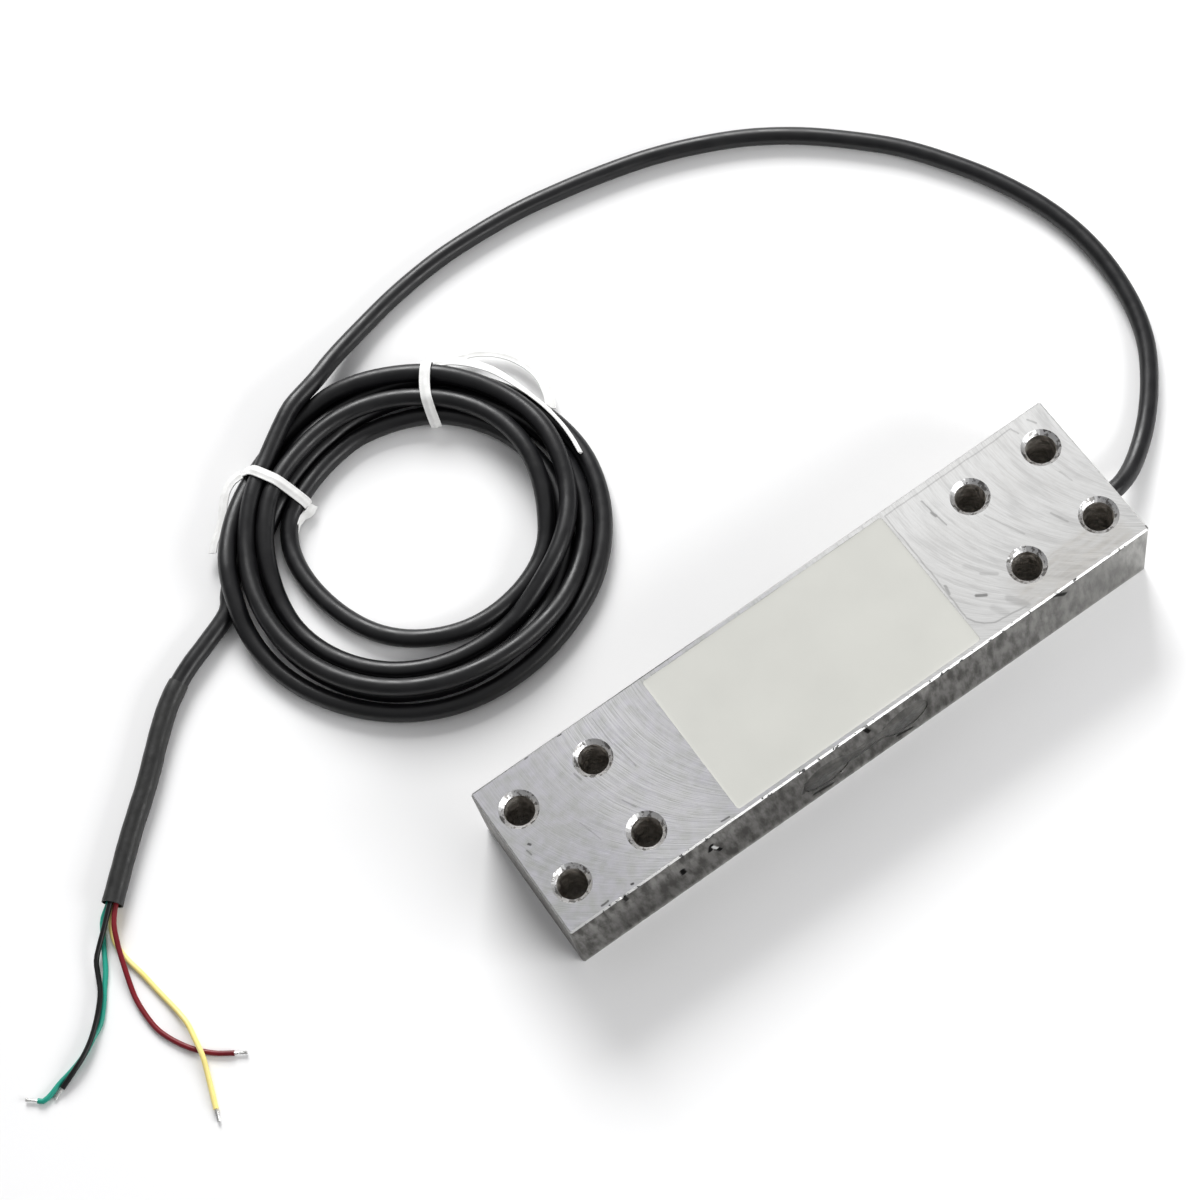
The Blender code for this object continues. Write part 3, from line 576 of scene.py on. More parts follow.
def strap_loop(cable, outer, inner, bow):
    """The strap's path drawn tight round the strands that cross its upright plane."""
    origin = Vector((*outer, 0)) * MM
    inward = Vector((*inner, 0)) * MM - origin
    reach = inward.length
    inward.normalize()
    across = UP.cross(inward)
    stand_off = CABLE_DIAMETER / 2 + (TIE_THICKNESS * 0.9 + 0.08) * MM
    cloud = []
    for near, far in zip(cable, cable[1:]):
        a, b = (near - origin).dot(across), (far - origin).dot(across)
        if a * b > 0:
            continue
        place = near.lerp(far, a / (a - b)) if a != b else near
        along = (place - origin).dot(inward)
        if not -STRAP_REACH < along < reach + STRAP_REACH:
            continue
        for angle in circle(STRAP_ROUND):
            cloud.append((along + stand_off * cos(angle), place.z + stand_off * sin(angle)))
    outline = [origin + inward * u + UP * v for u, v in hull(cloud)]
    outline.append(outline[0])
    loop = []
    for point in even_points(outline, STRAP_STEP)[:-1]:
        share = min(max((point - origin).dot(inward) / reach, 0), 1)
        loop.append(point + across * bow * sin(pi * share) * MM)
    return loop, across


def make_tie(name, cable, finish):
    """A twist tie: its loop round the coil, and its two tails with their own tilt."""
    facts = TIES[name]
    loop, across = strap_loop(cable, facts["outer"], facts["inner"], facts["bow"])
    shape = bmesh.new()
    skin(shape, strap_rings(loop, [across] * len(loop), closed=True), closed=True)
    for knots in facts["tails"]:
        places = metres(knot[:3] for knot in knots)
        points = smooth_points(places, STRAP_STEP)
        walked = [path_length(places[:count + 1]) for count in range(len(places))]
        tilts = np.interp(np.linspace(0, walked[-1], len(points)), walked, [knot[3] for knot in knots])
        sides = []
        for ahead, tilt in zip(headings(points), np.radians(tilts)):
            level = ahead.cross(UP).normalized()
            sides.append(level * cos(tilt) + level.cross(ahead) * sin(tilt))
        skin(shape, strap_rings(points, sides), caps=True)
    return shape_piece(f"{name}_strap", shape, finish, "white_tie", name)


def potting_lines(half, middle_count):
    """Places of the mesh lines across a slab, close together near its walls."""
    low = [-half + step for step in POTTING_LINES]
    middle = np.linspace(low[-1], -low[-1], middle_count)[1:-1]
    return low + list(middle) + [-value for value in low[::-1]]


def make_potting(name, side, finish):
    """Silicone cast into a pocket: a slab whose face draws up a little at the walls."""
    half_length, half_width = POTTING_HALVES
    face = BAR_HEIGHT / 2 * (1 + side)
    across, along = [potting_lines(*facts) for facts in zip(POTTING_HALVES, POTTING_MIDDLE_LINES)]
    columns, rows = len(across), len(along)
    shape = bmesh.new()
    top, base = [], []
    for x in across:
        for y in along:
            gap_x, gap_y = half_length - abs(x), half_width - abs(y)
            u, v = x, y
            if gap_x < POTTING_CORNER and gap_y < POTTING_CORNER:
                out_x, out_y = POTTING_CORNER - gap_x, POTTING_CORNER - gap_y
                pull = max(out_x, out_y) / hypot(out_x, out_y)
                u = copysign(half_length - POTTING_CORNER + out_x * pull, x)
                v = copysign(half_width - POTTING_CORNER + out_y * pull, y)
            sink = POTTING_SINK - POTTING_DRAW * exp(-min(gap_x, gap_y) / POTTING_DRAW_REACH)
            sink += POTTING_WAVE * sin(x * 0.31 + 1.3) * sin(y * 0.42 + 0.4)
            for layer, depth in ((top, sink), (base, POTTING_DEPTH)):
                layer.append(shape.verts.new(Vector((u, v, face - side * depth)) * MM))
    for i in range(columns - 1):
        for j in range(rows - 1):
            cell = [i * rows + j, (i + 1) * rows + j, (i + 1) * rows + j + 1, i * rows + j + 1]
            shape.faces.new([top[k] for k in cell])
            shape.faces.new([base[k] for k in cell[::-1]])
    rim = [i * rows for i in range(columns)]
    rim += [(columns - 1) * rows + j for j in range(1, rows)]
    rim += [i * rows + rows - 1 for i in range(columns - 2, -1, -1)]
    rim += list(range(rows - 2, 0, -1))
    for near, far in zip(rim, rim[1:] + rim[:1]):
        shape.faces.new((top[near], top[far], base[far], base[near]))
    return shape_piece(f"silicone_{name}", shape, finish, "silicone", f"potting_{name}")


def make_seal(frame, side, finish):
    """The compound in the bar's cut-out, drawn out to the walls so that only a fine seam shows."""
    source = frame["nodes"][f"side_seal_{side}"]
    shape = bmesh.new()
    shape.from_mesh(source.data)
    shape.transform(source.matrix_world)
    shape.normal_update()
    bmesh.ops.remove_doubles(shape, verts=shape.verts[:], dist=0.001 * MM)
    moves = []
    for vert in shape.verts:
        outward = sum((face.normal for face in vert.link_faces if abs(face.normal.y) < 0.5), Vector())
        outward.y = 0
        moves.append(outward.normalized() * SEAM_CLOSING)
    for vert, move in zip(shape.verts, moves):
        vert.co += move
    return shape_piece(f"compound_{side}", shape, finish, "seal_compound", f"side_seal_{side}")


def make_camera():
    data = bpy.data.cameras.new("photo_camera")
    data.lens = CAMERA_LENS
    data.sensor_width = CAMERA_FRAME
    data.sensor_fit = "HORIZONTAL"
    data.clip_start = 0.01
    data.clip_end = 20
    camera = linked("photo_camera", data)
    turn = Matrix((CAMERA_RIGHT, CAMERA_UP, CAMERA_BACK)).transposed()
    camera.matrix_world = Matrix.Translation(CAMERA_PLACE) @ turn.to_4x4()
    bpy.context.scene.camera = camera


def make_lights():
    """A pale room that is brighter overhead and behind, with soft boxes at the sides."""
    world = bpy.data.worlds.new("studio")
    bpy.context.scene.world = world
    world.use_nodes = True
    tree = world.node_tree
    toward = Field(tree.nodes.new("ShaderNodeTexCoord").outputs["Generated"])
    aim = vectors("DOT_PRODUCT", vectors("NORMALIZE", toward), SKY_AIM)
    backdrop = tree.nodes["Background"]
    feed_all(backdrop, ("Color", "Strength"), (blended(ranged(aim, 0.2, 1.0), SKY_LOW, SKY_HIGH), 1.0))
    for name, place, size, power in LIGHTS:
        data = bpy.data.lights.new(name, "AREA")
        data.shape = "RECTANGLE"
        data.size, data.size_y = size
        data.energy = power
        light = linked(name, data)
        light.location = place
        light.rotation_euler = (-Vector(place)).to_track_quat("-Z", "Y").to_euler()


def make_floor(finish):
    mesh = bpy.data.meshes.new("floor")
    shape = bmesh.new()
    bmesh.ops.create_grid(shape, x_segments=1, y_segments=1, size=FLOOR_HALF)
    shape.to_mesh(mesh)
    shape.free()
    mesh.materials.append(finish)
    linked("floor", mesh)


class Field:
    """A number, vector or colour that varies over a surface, with arithmetic made of shader nodes."""

    def __init__(self, socket):
        self.socket = socket
        self.tree = socket.id_data

    def __add__(self, other):
        return maths("ADD", self, other)

    def __sub__(self, other):
        return maths("SUBTRACT", self, other)

    def __rsub__(self, other):
        return maths("SUBTRACT", other, self)

    def __mul__(self, other):
        return maths("MULTIPLY", self, other)


def feed(socket, value):
    """Links a field to a socket, or sets the socket to a plain value or a colour of three parts."""
    if isinstance(value, Field):
        value.tree.links.new(value.socket, socket)
    elif socket.type == "RGBA":
        socket.default_value = (*value, 1.0)
    else:
        socket.default_value = value


def feed_all(item, names, values):
    for name, value in zip(names, values):
        feed(item.inputs[name], value)


def node_beside(kind, *terms):
    """A new shader node in the tree of the first field among the terms."""
    tree = next(term.tree for term in terms if isinstance(term, Field))
    return tree.nodes.new("ShaderNode" + kind)


def maths(operation, *terms, clamp=False):
    item = node_beside("Math", *terms)
    item.operation = operation
    item.use_clamp = clamp
    feed_all(item, range(3), terms)
    return Field(item.outputs[0])


def vectors(operation, *terms):
    item = node_beside("VectorMath", *terms)
    item.operation = operation
    feed_all(item, (0, "Scale") if operation == "SCALE" else range(3), terms)
    return Field(item.outputs["Value" if operation in ("DOT_PRODUCT", "LENGTH") else "Vector"])


def split(vector):
    item = node_beside("SeparateXYZ", vector)
    feed(item.inputs[0], vector)
    return [Field(part) for part in item.outputs]


def joined(*parts):
    """A vector of up to three parts; one left out is zero."""
    item = node_beside("CombineXYZ", *parts)
    feed_all(item, range(3), parts)
    return Field(item.outputs[0])


def blended(share, first, second):
    """A colour between two others."""
    item = node_beside("Mix", share)
    item.data_type = "RGBA"
    feed_all(item, (0, 6, 7), (share, first, second))
    return Field(item.outputs[2])


def ranged(value, low, high, start=0.0, stop=1.0):
    """A smooth step from start to stop as the value goes from low to high."""
    item = node_beside("MapRange", value)
    item.interpolation_type = "SMOOTHSTEP"
    feed_all(item, range(5), (value, low, high, start, stop))
    return Field(item.outputs[0])


def noise(vector, scale, detail, roughness):
    item = node_beside("TexNoise", vector)
    feed_all(item, ("Vector", "Scale", "Detail", "Roughness"), (vector, scale, detail, roughness))
    return Field(item.outputs[0])


def bumped(height, distance):
    """The surface's normal as a height tilts it; the distance in metres is that of a height of one."""
    item = node_beside("Bump", height)
    feed_all(item, ("Height", "Distance"), (height, distance))
    return Field(item.outputs[0])


def object_place(tree):
    return Field(tree.nodes.new("ShaderNodeTexCoord").outputs["Object"])


def surface_normal(tree):
    return Field(tree.nodes.new("ShaderNodeNewGeometry").outputs["Normal"])


def effect(name, inputs, output="Mask", kind="NodeSocketFloat"):
    """An empty shader node group with named inputs and one named output."""
    tree = bpy.data.node_groups.new(name, "ShaderNodeTree")
    for label, default in inputs.items():
        sort = "NodeSocketVector" if isinstance(default, tuple) else "NodeSocketFloat"
        tree.interface.new_socket(label, in_out="INPUT", socket_type=sort).default_value = default
    tree.interface.new_socket(output, in_out="OUTPUT", socket_type=kind)
    entry = tree.nodes.new("NodeGroupInput")
    given = {label: Field(entry.outputs[label]) for label in inputs}
    return tree, given, tree.nodes.new("NodeGroupOutput").inputs[0]


def placed(tree, name, **values):
    """One copy of an effect in a material, with its own values."""
    item = tree.nodes.new("ShaderNodeGroup")
    item.node_tree = bpy.data.node_groups[name]
    feed_all(item, values.keys(), values.values())
    return Field(item.outputs[0])


def mottled(tree, scale, contrast, **more):
    return placed(tree, "mottling", Scale=scale, Contrast=contrast, **more)


def relieved(tree, scale, height):
    return placed(tree, "relief", Scale=scale, Height=height * MM)


def make_mottling():
    """Soft patches; Contrast above 1 hardens them, Lean slants upright ones."""
    tree, given, out = effect("mottling", {"Scale": 100.0, "Contrast": 1.0, "Lean": 0.0,
                                           "Stretch": (1.0, 1.0, 1.0)})
    place = object_place(tree)
    slant = joined(split(place)[2] * given["Lean"])
    spot = vectors("ADD", vectors("MULTIPLY", place, given["Stretch"]), slant)
    cloud = noise(spot, given["Scale"], 4.0, 0.55)
    feed(out, maths("MULTIPLY_ADD", cloud - 0.5, given["Contrast"] * 2.0, 0.5, clamp=True))


def make_relief():
    """Fine unevenness of the surface; Height in metres."""
    tree, given, out = effect("relief", {"Scale": 500.0, "Height": 0.02 * MM}, "Normal", "NodeSocketVector")
    feed(out, bumped(noise(object_place(tree), given["Scale"], 3.0, 0.5), given["Height"]))


def make_stroke():
    """A scratch or fleck between two points of the face, all in millimetres."""
    _, given, out = effect("stroke", {"Point": ORIGIN, "From": ORIGIN, "To": (1.0, 0.0, 0.0),
                                      "Width": 0.3})
    run = vectors("SUBTRACT", given["To"], given["From"])
    reach = vectors("SUBTRACT", given["Point"], given["From"])
    share = maths("DIVIDE", vectors("DOT_PRODUCT", reach, run), vectors("DOT_PRODUCT", run, run),
                  clamp=True)
    away = vectors("LENGTH", vectors("SUBTRACT", reach, vectors("SCALE", run, share)))
    feed(out, ranged(maths("DIVIDE", away, given["Width"] * 0.5), 1.35, 0.45))


def make_cutter_arcs():
    """Sweeps of a fly cutter: lines of constant travel, finer across than along."""
    _, given, out = effect("cutter_arcs", {"Point": ORIGIN, "Radius": 40.0, "Centre": 3.0,
                                           "Fineness": 3.0, "Length": 0.08})
    x, y, _ = split(given["Point"])
    offset = y - given["Centre"]
    chord = given["Radius"] * given["Radius"] - offset * offset
    travel = x + maths("SQRT", maths("MAXIMUM", chord, 0.0))
    spot = joined(travel * given["Fineness"], y * given["Length"])
    feed(out, noise(spot, 1.0, 3.0, 0.6))


def make_edge_wear():
    """Where the surface turns sharply, within Width metres of an edge."""
    tree, given, out = effect("edge_wear", {"Width": 0.3 * MM})
    bevel = tree.nodes.new("ShaderNodeBevel")
    bevel.samples = 6
    feed(bevel.inputs["Radius"], given["Width"])
    facing = vectors("DOT_PRODUCT", Field(bevel.outputs[0]), surface_normal(tree))
    feed(out, ranged(facing, 0.99, 0.86))


def new_finish(name, metallic=0.0):
    finish = bpy.data.materials.new(name)
    finish.use_nodes = True
    shader = finish.node_tree.nodes["Principled BSDF"]
    feed(shader.inputs["Metallic"], metallic)
    return finish, finish.node_tree, shader


def cover(shader, colour, roughness, normal):
    feed_all(shader, ("Base Color", "Roughness", "Normal"), (colour, roughness, normal))


# Tones of the milled bar: left end plain, tinted and lined; right end dark, light and rubbed, its dark and
# light tones a painted reflection that makes it lighter than the left end; the sides' streak, gap and
# blotch, and their pale tone of painted reflection at the foot and the right end; chamfers bright and
# specked; hole rims dark and bright; and what is bitten out of the sides' upper edge
TOP_LEFT = ((0.34, 0.348, 0.335), (0.44, 0.434, 0.472), (0.66, 0.66, 0.668))
TOP_RIGHT_REFLECTION_AND_WEAR = ((0.44, 0.44, 0.436), (0.76, 0.76, 0.752), (0.52, 0.508, 0.485))
SIDE_AND_REFLECTION_TONES = ((0.105, 0.102, 0.096), (0.375, 0.367, 0.352), (0.065, 0.061, 0.056), (0.6, 0.6, 0.585))
SIDE_STREAKS = {"Scale": 620.0, "Contrast": 1.7, "Lean": 0.1, "Stretch": (1.0, 1.0, 0.22)}
EDGE_TONES = ((0.62, 0.62, 0.61), (0.05, 0.05, 0.05))
RIM_TONES = ((0.24, 0.235, 0.23), (0.78, 0.78, 0.78))
BITTEN_TONE = (0.02, 0.02, 0.02)

# Two tones each of the cut threads and of the sheet that the part lies on
THREAD_TONES = ((0.6, 0.57, 0.53), (0.85, 0.82, 0.78))
SHEET_TONES = ((0.85, 0.85, 0.85), (0.87, 0.87, 0.87))

# Finishes of one make-up: two tones, the fineness and contrast of their patches, two roughnesses, the
# fineness and height of the relief, and what sets it apart; heights and an edge's width in millimetres
GRAIN_FINENESS = 3.1
INSULATION = ((160, 1.2), (0.3, 0.42), (900, 0.02))
FINISHES = {
    "cable_jacket": ((0.0025, 0.0025, 0.003), (0.005, 0.005, 0.006), (90, 1.2), (0.32, 0.46),
                     (260, 0.06), {"specular": 0.45}),
    "shrink_sleeve": ((0.006, 0.006, 0.006), (0.014, 0.014, 0.013), (220, 1.4), (0.36, 0.52),
                      (700, 0.05), {}),
    "white_tie": ((0.86, 0.86, 0.85), (0.7, 0.7, 0.68), (350, 1.3), (0.35, 0.5), (900, 0.03),
                  {"edge": ((0.95, 0.95, 0.95), 0.2)}),
    "red_insulation": ((0.13, 0.004, 0.009), (0.19, 0.006, 0.013), *INSULATION, {"specular": 0.35}),
    "yellow_insulation": ((0.86, 0.7, 0.2), (0.93, 0.8, 0.33), *INSULATION, {}),
    "black_insulation": ((0.003, 0.003, 0.003), (0.007, 0.007, 0.007), *INSULATION, {"specular": 0.3}),
    "green_insulation": ((0.006, 0.24, 0.17), (0.012, 0.33, 0.24), *INSULATION, {}),
    "silicone": ((0.47, 0.47, 0.438), (0.515, 0.515, 0.479), (60, 0.8), (0.45, 0.58), (500, 0.004), {}),
    "seal_compound": ((0.035, 0.034, 0.031), (0.08, 0.077, 0.07), (400, 1.5), (0.45, 0.65),
                      (1500, 0.06), {"streaks": SIDE_STREAKS}),
    "gauge_foil": ((0.62, 0.36, 0.12), (0.72, 0.46, 0.18), (900, 1.4), (0.25, 0.45), (4000, 0.01),
                   {"edge": ((0.8, 0.56, 0.24), 0.2)}),
    "board": ((0.05, 0.2, 0.08), (0.08, 0.26, 0.11), (900, 1.3), (0.3, 0.5), (3000, 0.01),
              {"edge": ((0.4, 0.42, 0.25), 0.1)}),
    "resistor": ((0.03, 0.03, 0.032), (0.06, 0.06, 0.06), (2500, 1.5), (0.3, 0.5), (6000, 0.01),
                 {"edge": ((0.6, 0.6, 0.6), 0.15)}),
    "enamelled_wire": ((0.4, 0.13, 0.05), (0.52, 0.2, 0.08), (1500, 1.3), (0.2, 0.35), (5000, 0.005),
                       {"metallic": 1.0}),
    "tinned_wire": ((0.78, 0.78, 0.77), (0.62, 0.62, 0.6), (1500, 1.5), (0.22, 0.42), (5000, 0.01),
                    {"metallic": 1.0}),
}


def make_finish(name):
    *tones, (fineness, contrast), rough, (relief, height), more = FINISHES[name]
    finish, tree, shader = new_finish(name, metallic=more.get("metallic", 0.0))
    feed(shader.inputs["Specular IOR Level"], more.get("specular", 0.5))
    spread = more.get("streaks", {"Scale": fineness, "Contrast": contrast})
    colour = blended(placed(tree, "mottling", **spread), *tones)
    if "edge" in more:
        tone, width = more["edge"]
        colour = blended(placed(tree, "edge_wear", Width=width * MM), colour, tone)
    grain = mottled(tree, fineness * GRAIN_FINENESS, 1.2)
    cover(shader, colour, ranged(grain, 0.0, 1.0, *rough), relieved(tree, relief, height))
    return finish


# Marks on the bar's top: two points from its left end and its back edge, width and darkness
TOP_MARKS = [
    (3.9, 16.6, 4.1, 16.9, 0.6, 0.8), (2.8, 17.6, 3.1, 18.9, 0.4, 0.5),
    (20.4, 9.6, 20.8, 11.4, 0.6, 0.3), (25.2, 20.4, 26.6, 23.4, 0.3, 0.3),
    (13.6, 0.3, 14.4, 0.3, 0.4, 0.7), (22.2, 0.3, 23.0, 0.4, 0.5, 0.9),
    (8.7, 36.8, 10.4, 36.8, 0.5, 0.7), (16.3, 36.7, 16.7, 36.8, 0.5, 0.9),
    (39.3, 36.8, 41.0, 36.8, 0.45, 0.7), (30.4, 1.5, 30.6, 9.0, 0.25, 0.25),
    (30.9, 9.0, 31.9, 16.0, 0.3, 0.3), (15.2, 19.2, 16.8, 25.0, 0.25, 0.25),
    (107.4, 1.55, 141.2, 1.6, 0.35, 0.28), (107.3, 1.6, 107.1, 31.2, 0.36, 0.3),
    (107.1, 31.2, 107.9, 32.8, 0.4, 0.34), (107.9, 32.8, 109.3, 34.3, 0.4, 0.34),
    (109.3, 34.3, 111.2, 35.5, 0.4, 0.32), (111.2, 35.5, 118.6, 36.4, 0.4, 0.32),
    (141.2, 1.9, 141.7, 3.4, 0.4, 0.3), (145.2, 1.9, 146.3, 3.8, 0.45, 0.34),
    (115.5, 3.4, 116.5, 11.2, 0.4, 0.38), (115.8, 7.0, 116.0, 8.2, 0.7, 0.5),
    (107.8, 22.5, 107.4, 24.4, 0.7, 0.4), (111.6, 28.1, 113.5, 29.4, 0.8, 0.62),
    (113.9, 21.4, 117.6, 26.3, 1.3, 0.13), (115.7, 24.8, 118.3, 26.9, 0.9, 0.22),
    (112.8, 32.5, 114.4, 35.4, 1.6, 0.14), (116.8, 32.8, 118.8, 36.2, 1.8, 0.2),
    (124.3, 14.3, 128.3, 22.9, 0.45, 0.22), (135.8, 22.6, 137.3, 26.2, 0.55, 0.26),
    (143.2, 16.0, 144.0, 19.2, 0.4, 0.22),
]
# Dark marks on the front face, painted near black: gouges, their darkness partly painted shade, and painted
# shadow at the foot of both seal circles; two points from its left end and its top edge, width and darkness
FRONT_GOUGES_AND_SHADOWS = [
    (27.3, 8.2, 27.4, 10.6, 1.6, 0.97), (34.7, 8.4, 35.1, 5.6, 1.4, 0.95),
    (36.0, 9.4, 36.9, 11.8, 1.2, 0.95), (61.2, 17.8, 65.4, 19.0, 1.5, 0.7),
    (83.2, 17.6, 86.4, 19.0, 1.5, 0.8), (59.4, 8.0, 58.4, 13.0, 1.0, 0.5),
    (79.8, 7.6, 80.8, 13.4, 1.1, 0.5), (75.0, 0.2, 76.0, 3.8, 1.3, 0.92),
    (124.6, 0.2, 127.6, 3.6, 1.4, 0.85), (13.4, 0.2, 13.9, 3.0, 1.2, 0.8),
]
# Painted glints on the front face, in the same way: one in a gouge and one low in a seal circle
FRONT_GLINTS = [(35.5, 7.0, 36.2, 9.6, 0.8, 0.95), (67.2, 13.0, 68.2, 16.2, 0.8, 0.5)]
# Tones of the marks on the top, of the front's dark marks (gouges in painted shade, and painted shadow) and
# of the painted glints, and how deep a dark front mark tilts the surface
SCRATCH_TONE = (0.03, 0.028, 0.027)
GOUGE_AND_SHADOW_TONE = (0.002, 0.002, 0.002)
GLINT_TONE = (0.95, 0.95, 0.94)
GOUGE_DEPTH = 8.0


def hole_reach(x, y):
    """Distance in millimetres to the nearest of the eight hole centres."""
    along = maths("ABSOLUTE", x)
    inner, outer = [maths("ABSOLUTE", along - row) for row in HOLE_ROWS[2:]]
    across = maths("ABSOLUTE", y) - HOLE_SIDE
    return vectors("LENGTH", joined(maths("MINIMUM", inner, outer), across))


def stroke_mask(marks, spot):
    """All the marks of a list as one mask."""
    total = 0.0
    for u1, v1, u2, v2, width, depth in marks:
        mask = placed(spot.tree, "stroke", Point=spot, From=(u1, v1, 0), To=(u2, v2, 0), Width=width)
        total = maths("MAXIMUM", total, mask * depth)
    return total


def milled_top(tree, u, v):
    """Sweeps of the cutter, keener on the left end and calmer on the right, the right end lighter as a
    painted reflection: their colour and height.
    """
    spot = joined(u, v)
    fine = placed(tree, "cutter_arcs", Point=spot, Fineness=2.4, Length=0.06)
    finer = placed(tree, "cutter_arcs", Point=spot, Fineness=6.0, Length=0.16, Radius=40.6)
    broad = placed(tree, "cutter_arcs", Point=spot, Fineness=0.5, Length=0.1, Centre=5.0)
    right = ranged(u, 60.0, 110.0)
    keen = fine * 0.55 + finer * 0.45
    calm = broad * 0.65 + fine * 0.35
    sweep = keen * (1.0 - right) + calm * right
    plain, tinted, bright = TOP_LEFT
    dull, light, worn = TOP_RIGHT_REFLECTION_AND_WEAR
    patches = mottled(tree, 420.0, 1.5)
    clouds = mottled(tree, 110.0, 1.8)
    keenness = ranged(maths("ABSOLUTE", u - 31.0), 18.0, 4.0, 0.45, 1.0)
    lined = ranged(sweep, 0.4, 0.62) * keenness
    left_top = blended(lined, blended(patches, plain, tinted), bright)
    # The right end's dark and light tones are lighter than the left end's: a painted reflection of the
    # light
    right_top_reflection = blended(ranged(sweep, 0.33, 0.66), dull, light)
    top = blended(clouds * 0.12, blended(right, left_top, right_top_reflection), worn)
    rubbed = ranged(v, 28.6, 30.6) * ranged(u, 116.5, 121.0) * ranged(u, 148.0, 145.0)
    rub_lines = mottled(tree, 700.0, 1.4, Stretch=(0.16, 1.0, 1.0))
    return blended(rubbed * ranged(rub_lines, 0.1, 0.9, 0.35, 1.0), top, worn), sweep


def sawn_side(tree, u, z, ahead, flecks):
    """Upright saw streaks with blotches, and painted reflection making the foot and the right end paler:
    colour and height.
    """
    streak, between, blotch, painted_reflection = SIDE_AND_REFLECTION_TONES
    strength = maths("MULTIPLY_ADD", ahead, 0.62, 0.38)
    streaks = placed(tree, "mottling", **SIDE_STREAKS)
    streaks = maths("MULTIPLY_ADD", streaks - 0.5, strength, 0.5)
    blotches = mottled(tree, 75.0, 2.2, Stretch=(1.0, 1.0, 1.2))
    side = blended(blotches * (strength * 0.32), blended(streaks, streak, between), blotch)
    band = ranged(z, 17.5, 11.0) * ranged(z, 1.2, 3.5) * (ranged(u, 2.0, 14.0) * ranged(u, 120.0, 60.0))
    side = blended(band * (ahead * 0.4), side, blotch)
    # Painted reflection of the lit floor: the foot is paler
    side = blended(ranged(z, 2.2, 0.6) * 0.45, side, painted_reflection)
    # Painted light: the sides grow paler towards the right end
    side = blended(ranged(u, 95.0, 150.0) * 0.35, side, painted_reflection)
    bitten = ranged(z, 20.2, 21.4) * ranged(flecks, 0.2, 0.08, 0.0, 0.8)
    return blended(bitten, side, BITTEN_TONE), streaks


def make_aluminium():
    """Milled bar: fly-cut top and underside, duller sides, worn edges and handling marks; painted
    reflection lightens the top's right end and the sides' foot and right end, and the front carries painted
    shade, painted shadow and painted glints.
    """
    finish, tree, shader = new_finish("milled_aluminium", metallic=1.0)
    feed(shader.inputs["Specular Tint"], (0.7, 0.7, 0.7))
    place = vectors("SCALE", object_place(tree), 1 / MM)
    x, y, z = split(place)
    u = x + BAR_LENGTH / 2
    v = BAR_WIDTH / 2 - y
    facing = split(surface_normal(tree))
    flatness = maths("ABSOLUTE", facing[2])
    level = ranged(flatness, 0.9, 0.97)
    upright = ranged(flatness, 0.55, 0.35)
    ahead = ranged(facing[1] * -1.0, 0.6, 0.9)
    wobble = (noise(place, 0.3, 3.0, 0.5) - 0.5) * 0.7
    top_spot = joined(u + wobble, v + wobble)
    front_spot = joined(u + wobble, BAR_HEIGHT - z)

    flecks = mottled(tree, 800.0, 2.2)
    top, sweep = milled_top(tree, u, v)
    side, streaks = sawn_side(tree, u, z, ahead, flecks)
    specked = ranged(flecks, 0.13, 0.04) * ranged(v, 35.0, 37.0, 0.2, 1.0)
    near_hole = ranged(hole_reach(x, y), 5.0, 4.8)
    rim = blended(ranged(flecks, 0.2, 0.42), *RIM_TONES)
    edge = blended(near_hole, blended(specked, *EDGE_TONES), rim)
    colour = blended(level, blended(upright, edge, side), top)
    # The front's dark marks: gouges whose near-black is painted shade, and painted shadow at the foot of
    # the seal circles
    gouges_and_shadows = stroke_mask(FRONT_GOUGES_AND_SHADOWS, front_spot) * ahead
    # Painted glints on the front face
    glints = stroke_mask(FRONT_GLINTS, front_spot) * ahead
    colour = blended(stroke_mask(TOP_MARKS, top_spot) * level, colour, SCRATCH_TONE)
    colour = blended(gouges_and_shadows, colour, GOUGE_AND_SHADOW_TONE)
    colour = blended(glints, colour, GLINT_TONE)

    rough_top = ranged(sweep, 0.3, 0.7, 0.44, 0.32)
    rough_side = ranged(streaks, 0.0, 1.0, 0.52, 0.36)
    rough_edge = ranged(near_hole, 0.0, 1.0, 0.3, 0.4)
    rough_steep = rough_side * upright + rough_edge * (1.0 - upright)
    rough = rough_top * level + rough_steep * (1.0 - level)
    rough = maths("MAXIMUM", rough, gouges_and_shadows * (1.0 - glints))
    height = sweep * level + streaks * (upright * 0.8) - gouges_and_shadows * GOUGE_DEPTH
    cover(shader, colour, rough, bumped(height, 0.03 * MM))
    return finish


def make_thread_finish():
    """Cut thread flanks: duller and browner than the milled faces, with swarf marks."""
    finish, tree, shader = new_finish("cut_thread", metallic=1.0)
    patches = mottled(tree, 500.0, 1.8)
    cover(shader, blended(patches, *THREAD_TONES), ranged(patches, 0.0, 1.0, 0.3, 0.48),
          relieved(tree, 2500.0, 0.03))
    return finish


def make_floor_finish():
    """Matt white studio sheet with a faint tooth."""
    finish, tree, shader = new_finish("white_sheet")
    feed(shader.inputs["Specular IOR Level"], 0.2)
    patches = mottled(tree, 6.0, 1.0)
    cover(shader, blended(patches, *SHEET_TONES), 0.8, relieved(tree, 900.0, 0.01))
    return finish


# Which finish each carried-over CAD node gets
NODE_FINISHES = {
    "cable_seal": "seal_compound",
    "gauge": "gauge_foil",
    "terminal_board": "board",
    "balance_resistor": "resistor",
    "jumper": "enamelled_wire",
    **{f"inner_core_{colour}": f"{colour}_insulation" for colour in CORE_SLOTS},
}


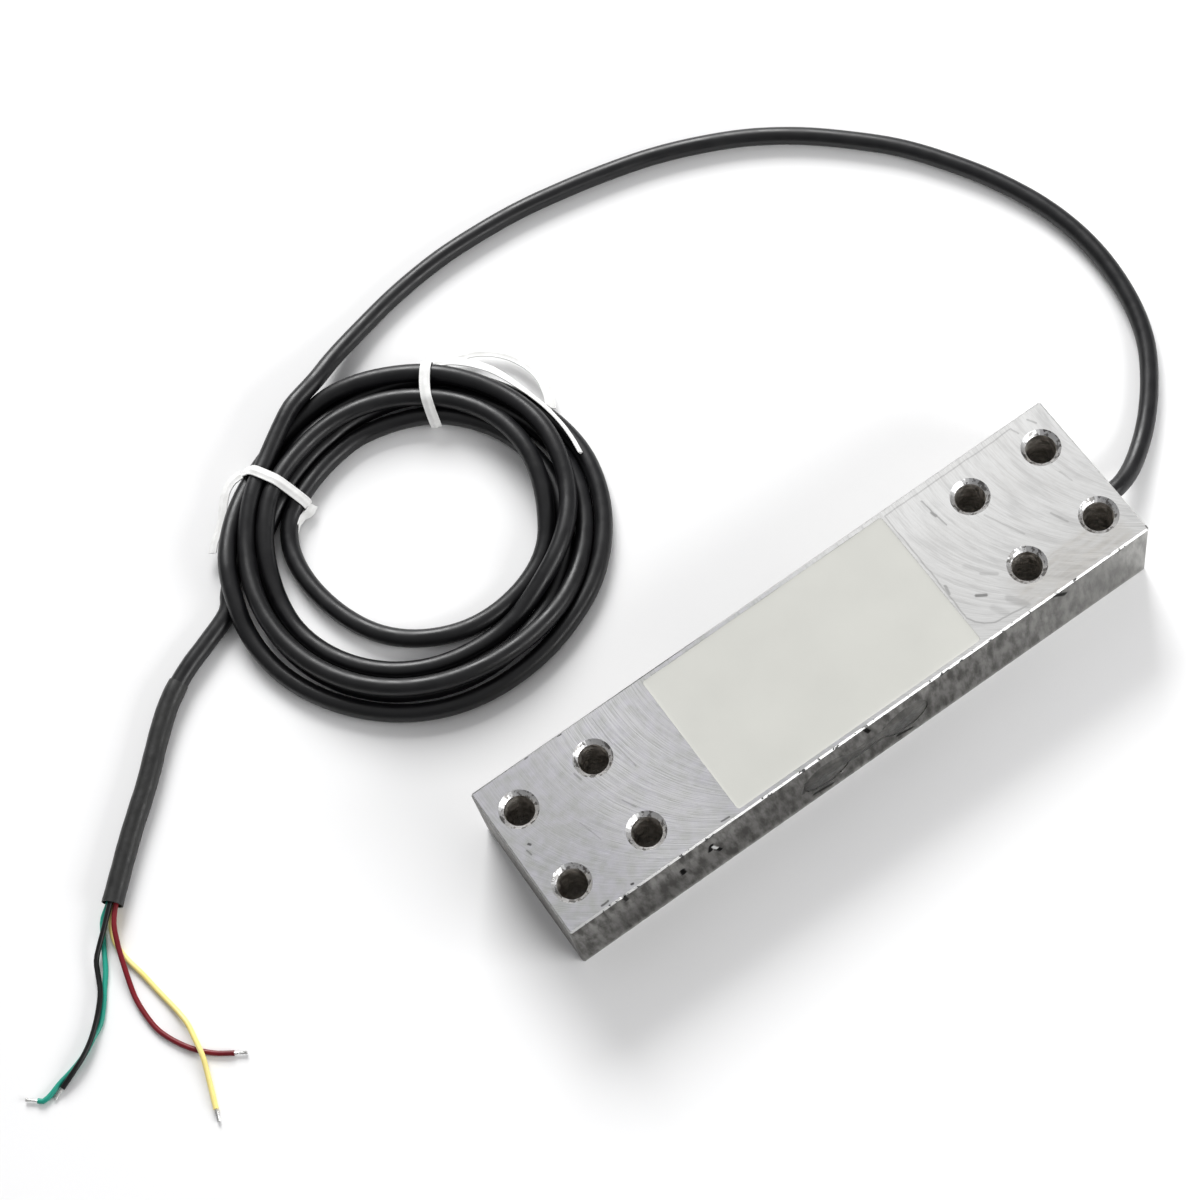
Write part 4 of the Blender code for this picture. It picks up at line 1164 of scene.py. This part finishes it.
def dress_nodes(frame, finishes, aluminium):
    """Gives the carried-over CAD nodes their finishes."""
    for name, item in frame["nodes"].items():
        finish = aluminium if name == "spring_element" else None
        for start, finish_name in NODE_FINISHES.items():
            if name.startswith(start):
                finish = finishes[finish_name]
        if finish is not None:
            for held in item.material_slots:
                held.material = finish


def make_threads(finish):
    """M8 threads in the eight holes: a lining whose crests wind down between the two chamfers."""
    shape = bmesh.new()
    low, high = THREAD_ENDS
    angles = circle(THREAD_STEPS)
    for x in HOLE_ROWS:
        for y in (-HOLE_SIDE, HOLE_SIDE):
            rings = []
            for height in np.linspace(low, high, THREAD_ROWS):
                run_in = min(height - low, high - height, THREAD_RUN_OUT) / THREAD_RUN_OUT
                ring = []
                for angle in angles:
                    wave = 0.5 - 0.5 * cos(tau * height / THREAD_PITCH - angle)
                    radius = THREAD_ROOT - (THREAD_ROOT - THREAD_CREST) * run_in * (1 - wave ** 0.8)
                    ring.append(spot_round(x, y, radius, angle, height))
                rings.append(ring)
            for height in (high, low):
                rings.append([spot_round(x, y, THREAD_WALL, angle, height) for angle in angles])
            skin(shape, rings, closed=True)
    return shape_piece("hole_threads", shape, finish, "aluminium")


def main():
    clear_scene()
    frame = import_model()
    bpy.context.scene.view_settings.view_transform = "Standard"
    for make_effect in (make_mottling, make_relief, make_stroke, make_cutter_arcs, make_edge_wear):
        make_effect()
    finishes = {name: make_finish(name) for name in FINISHES}
    make_camera()
    make_lights()
    make_floor(make_floor_finish())
    dress_nodes(frame, finishes, make_aluminium())

    cable, route = make_cable(finishes["cable_jacket"])
    sleeve = make_sleeve(finishes["shrink_sleeve"])
    ties = [make_tie(name, route, finishes["white_tie"]) for name in TIES]
    round(path_length(route), 2)
    [sleeve] + ties
    for colour in CORE_ROUTES:
        make_core(colour, finishes[f"{colour}_insulation"], finishes["tinned_wire"])
    make_potting("top", 1, finishes["silicone"])
    make_potting("bottom", -1, finishes["silicone"])
    for side in ("front", "back"):
        make_seal(frame, side, finishes["seal_compound"])
    make_threads(make_thread_finish())


main()
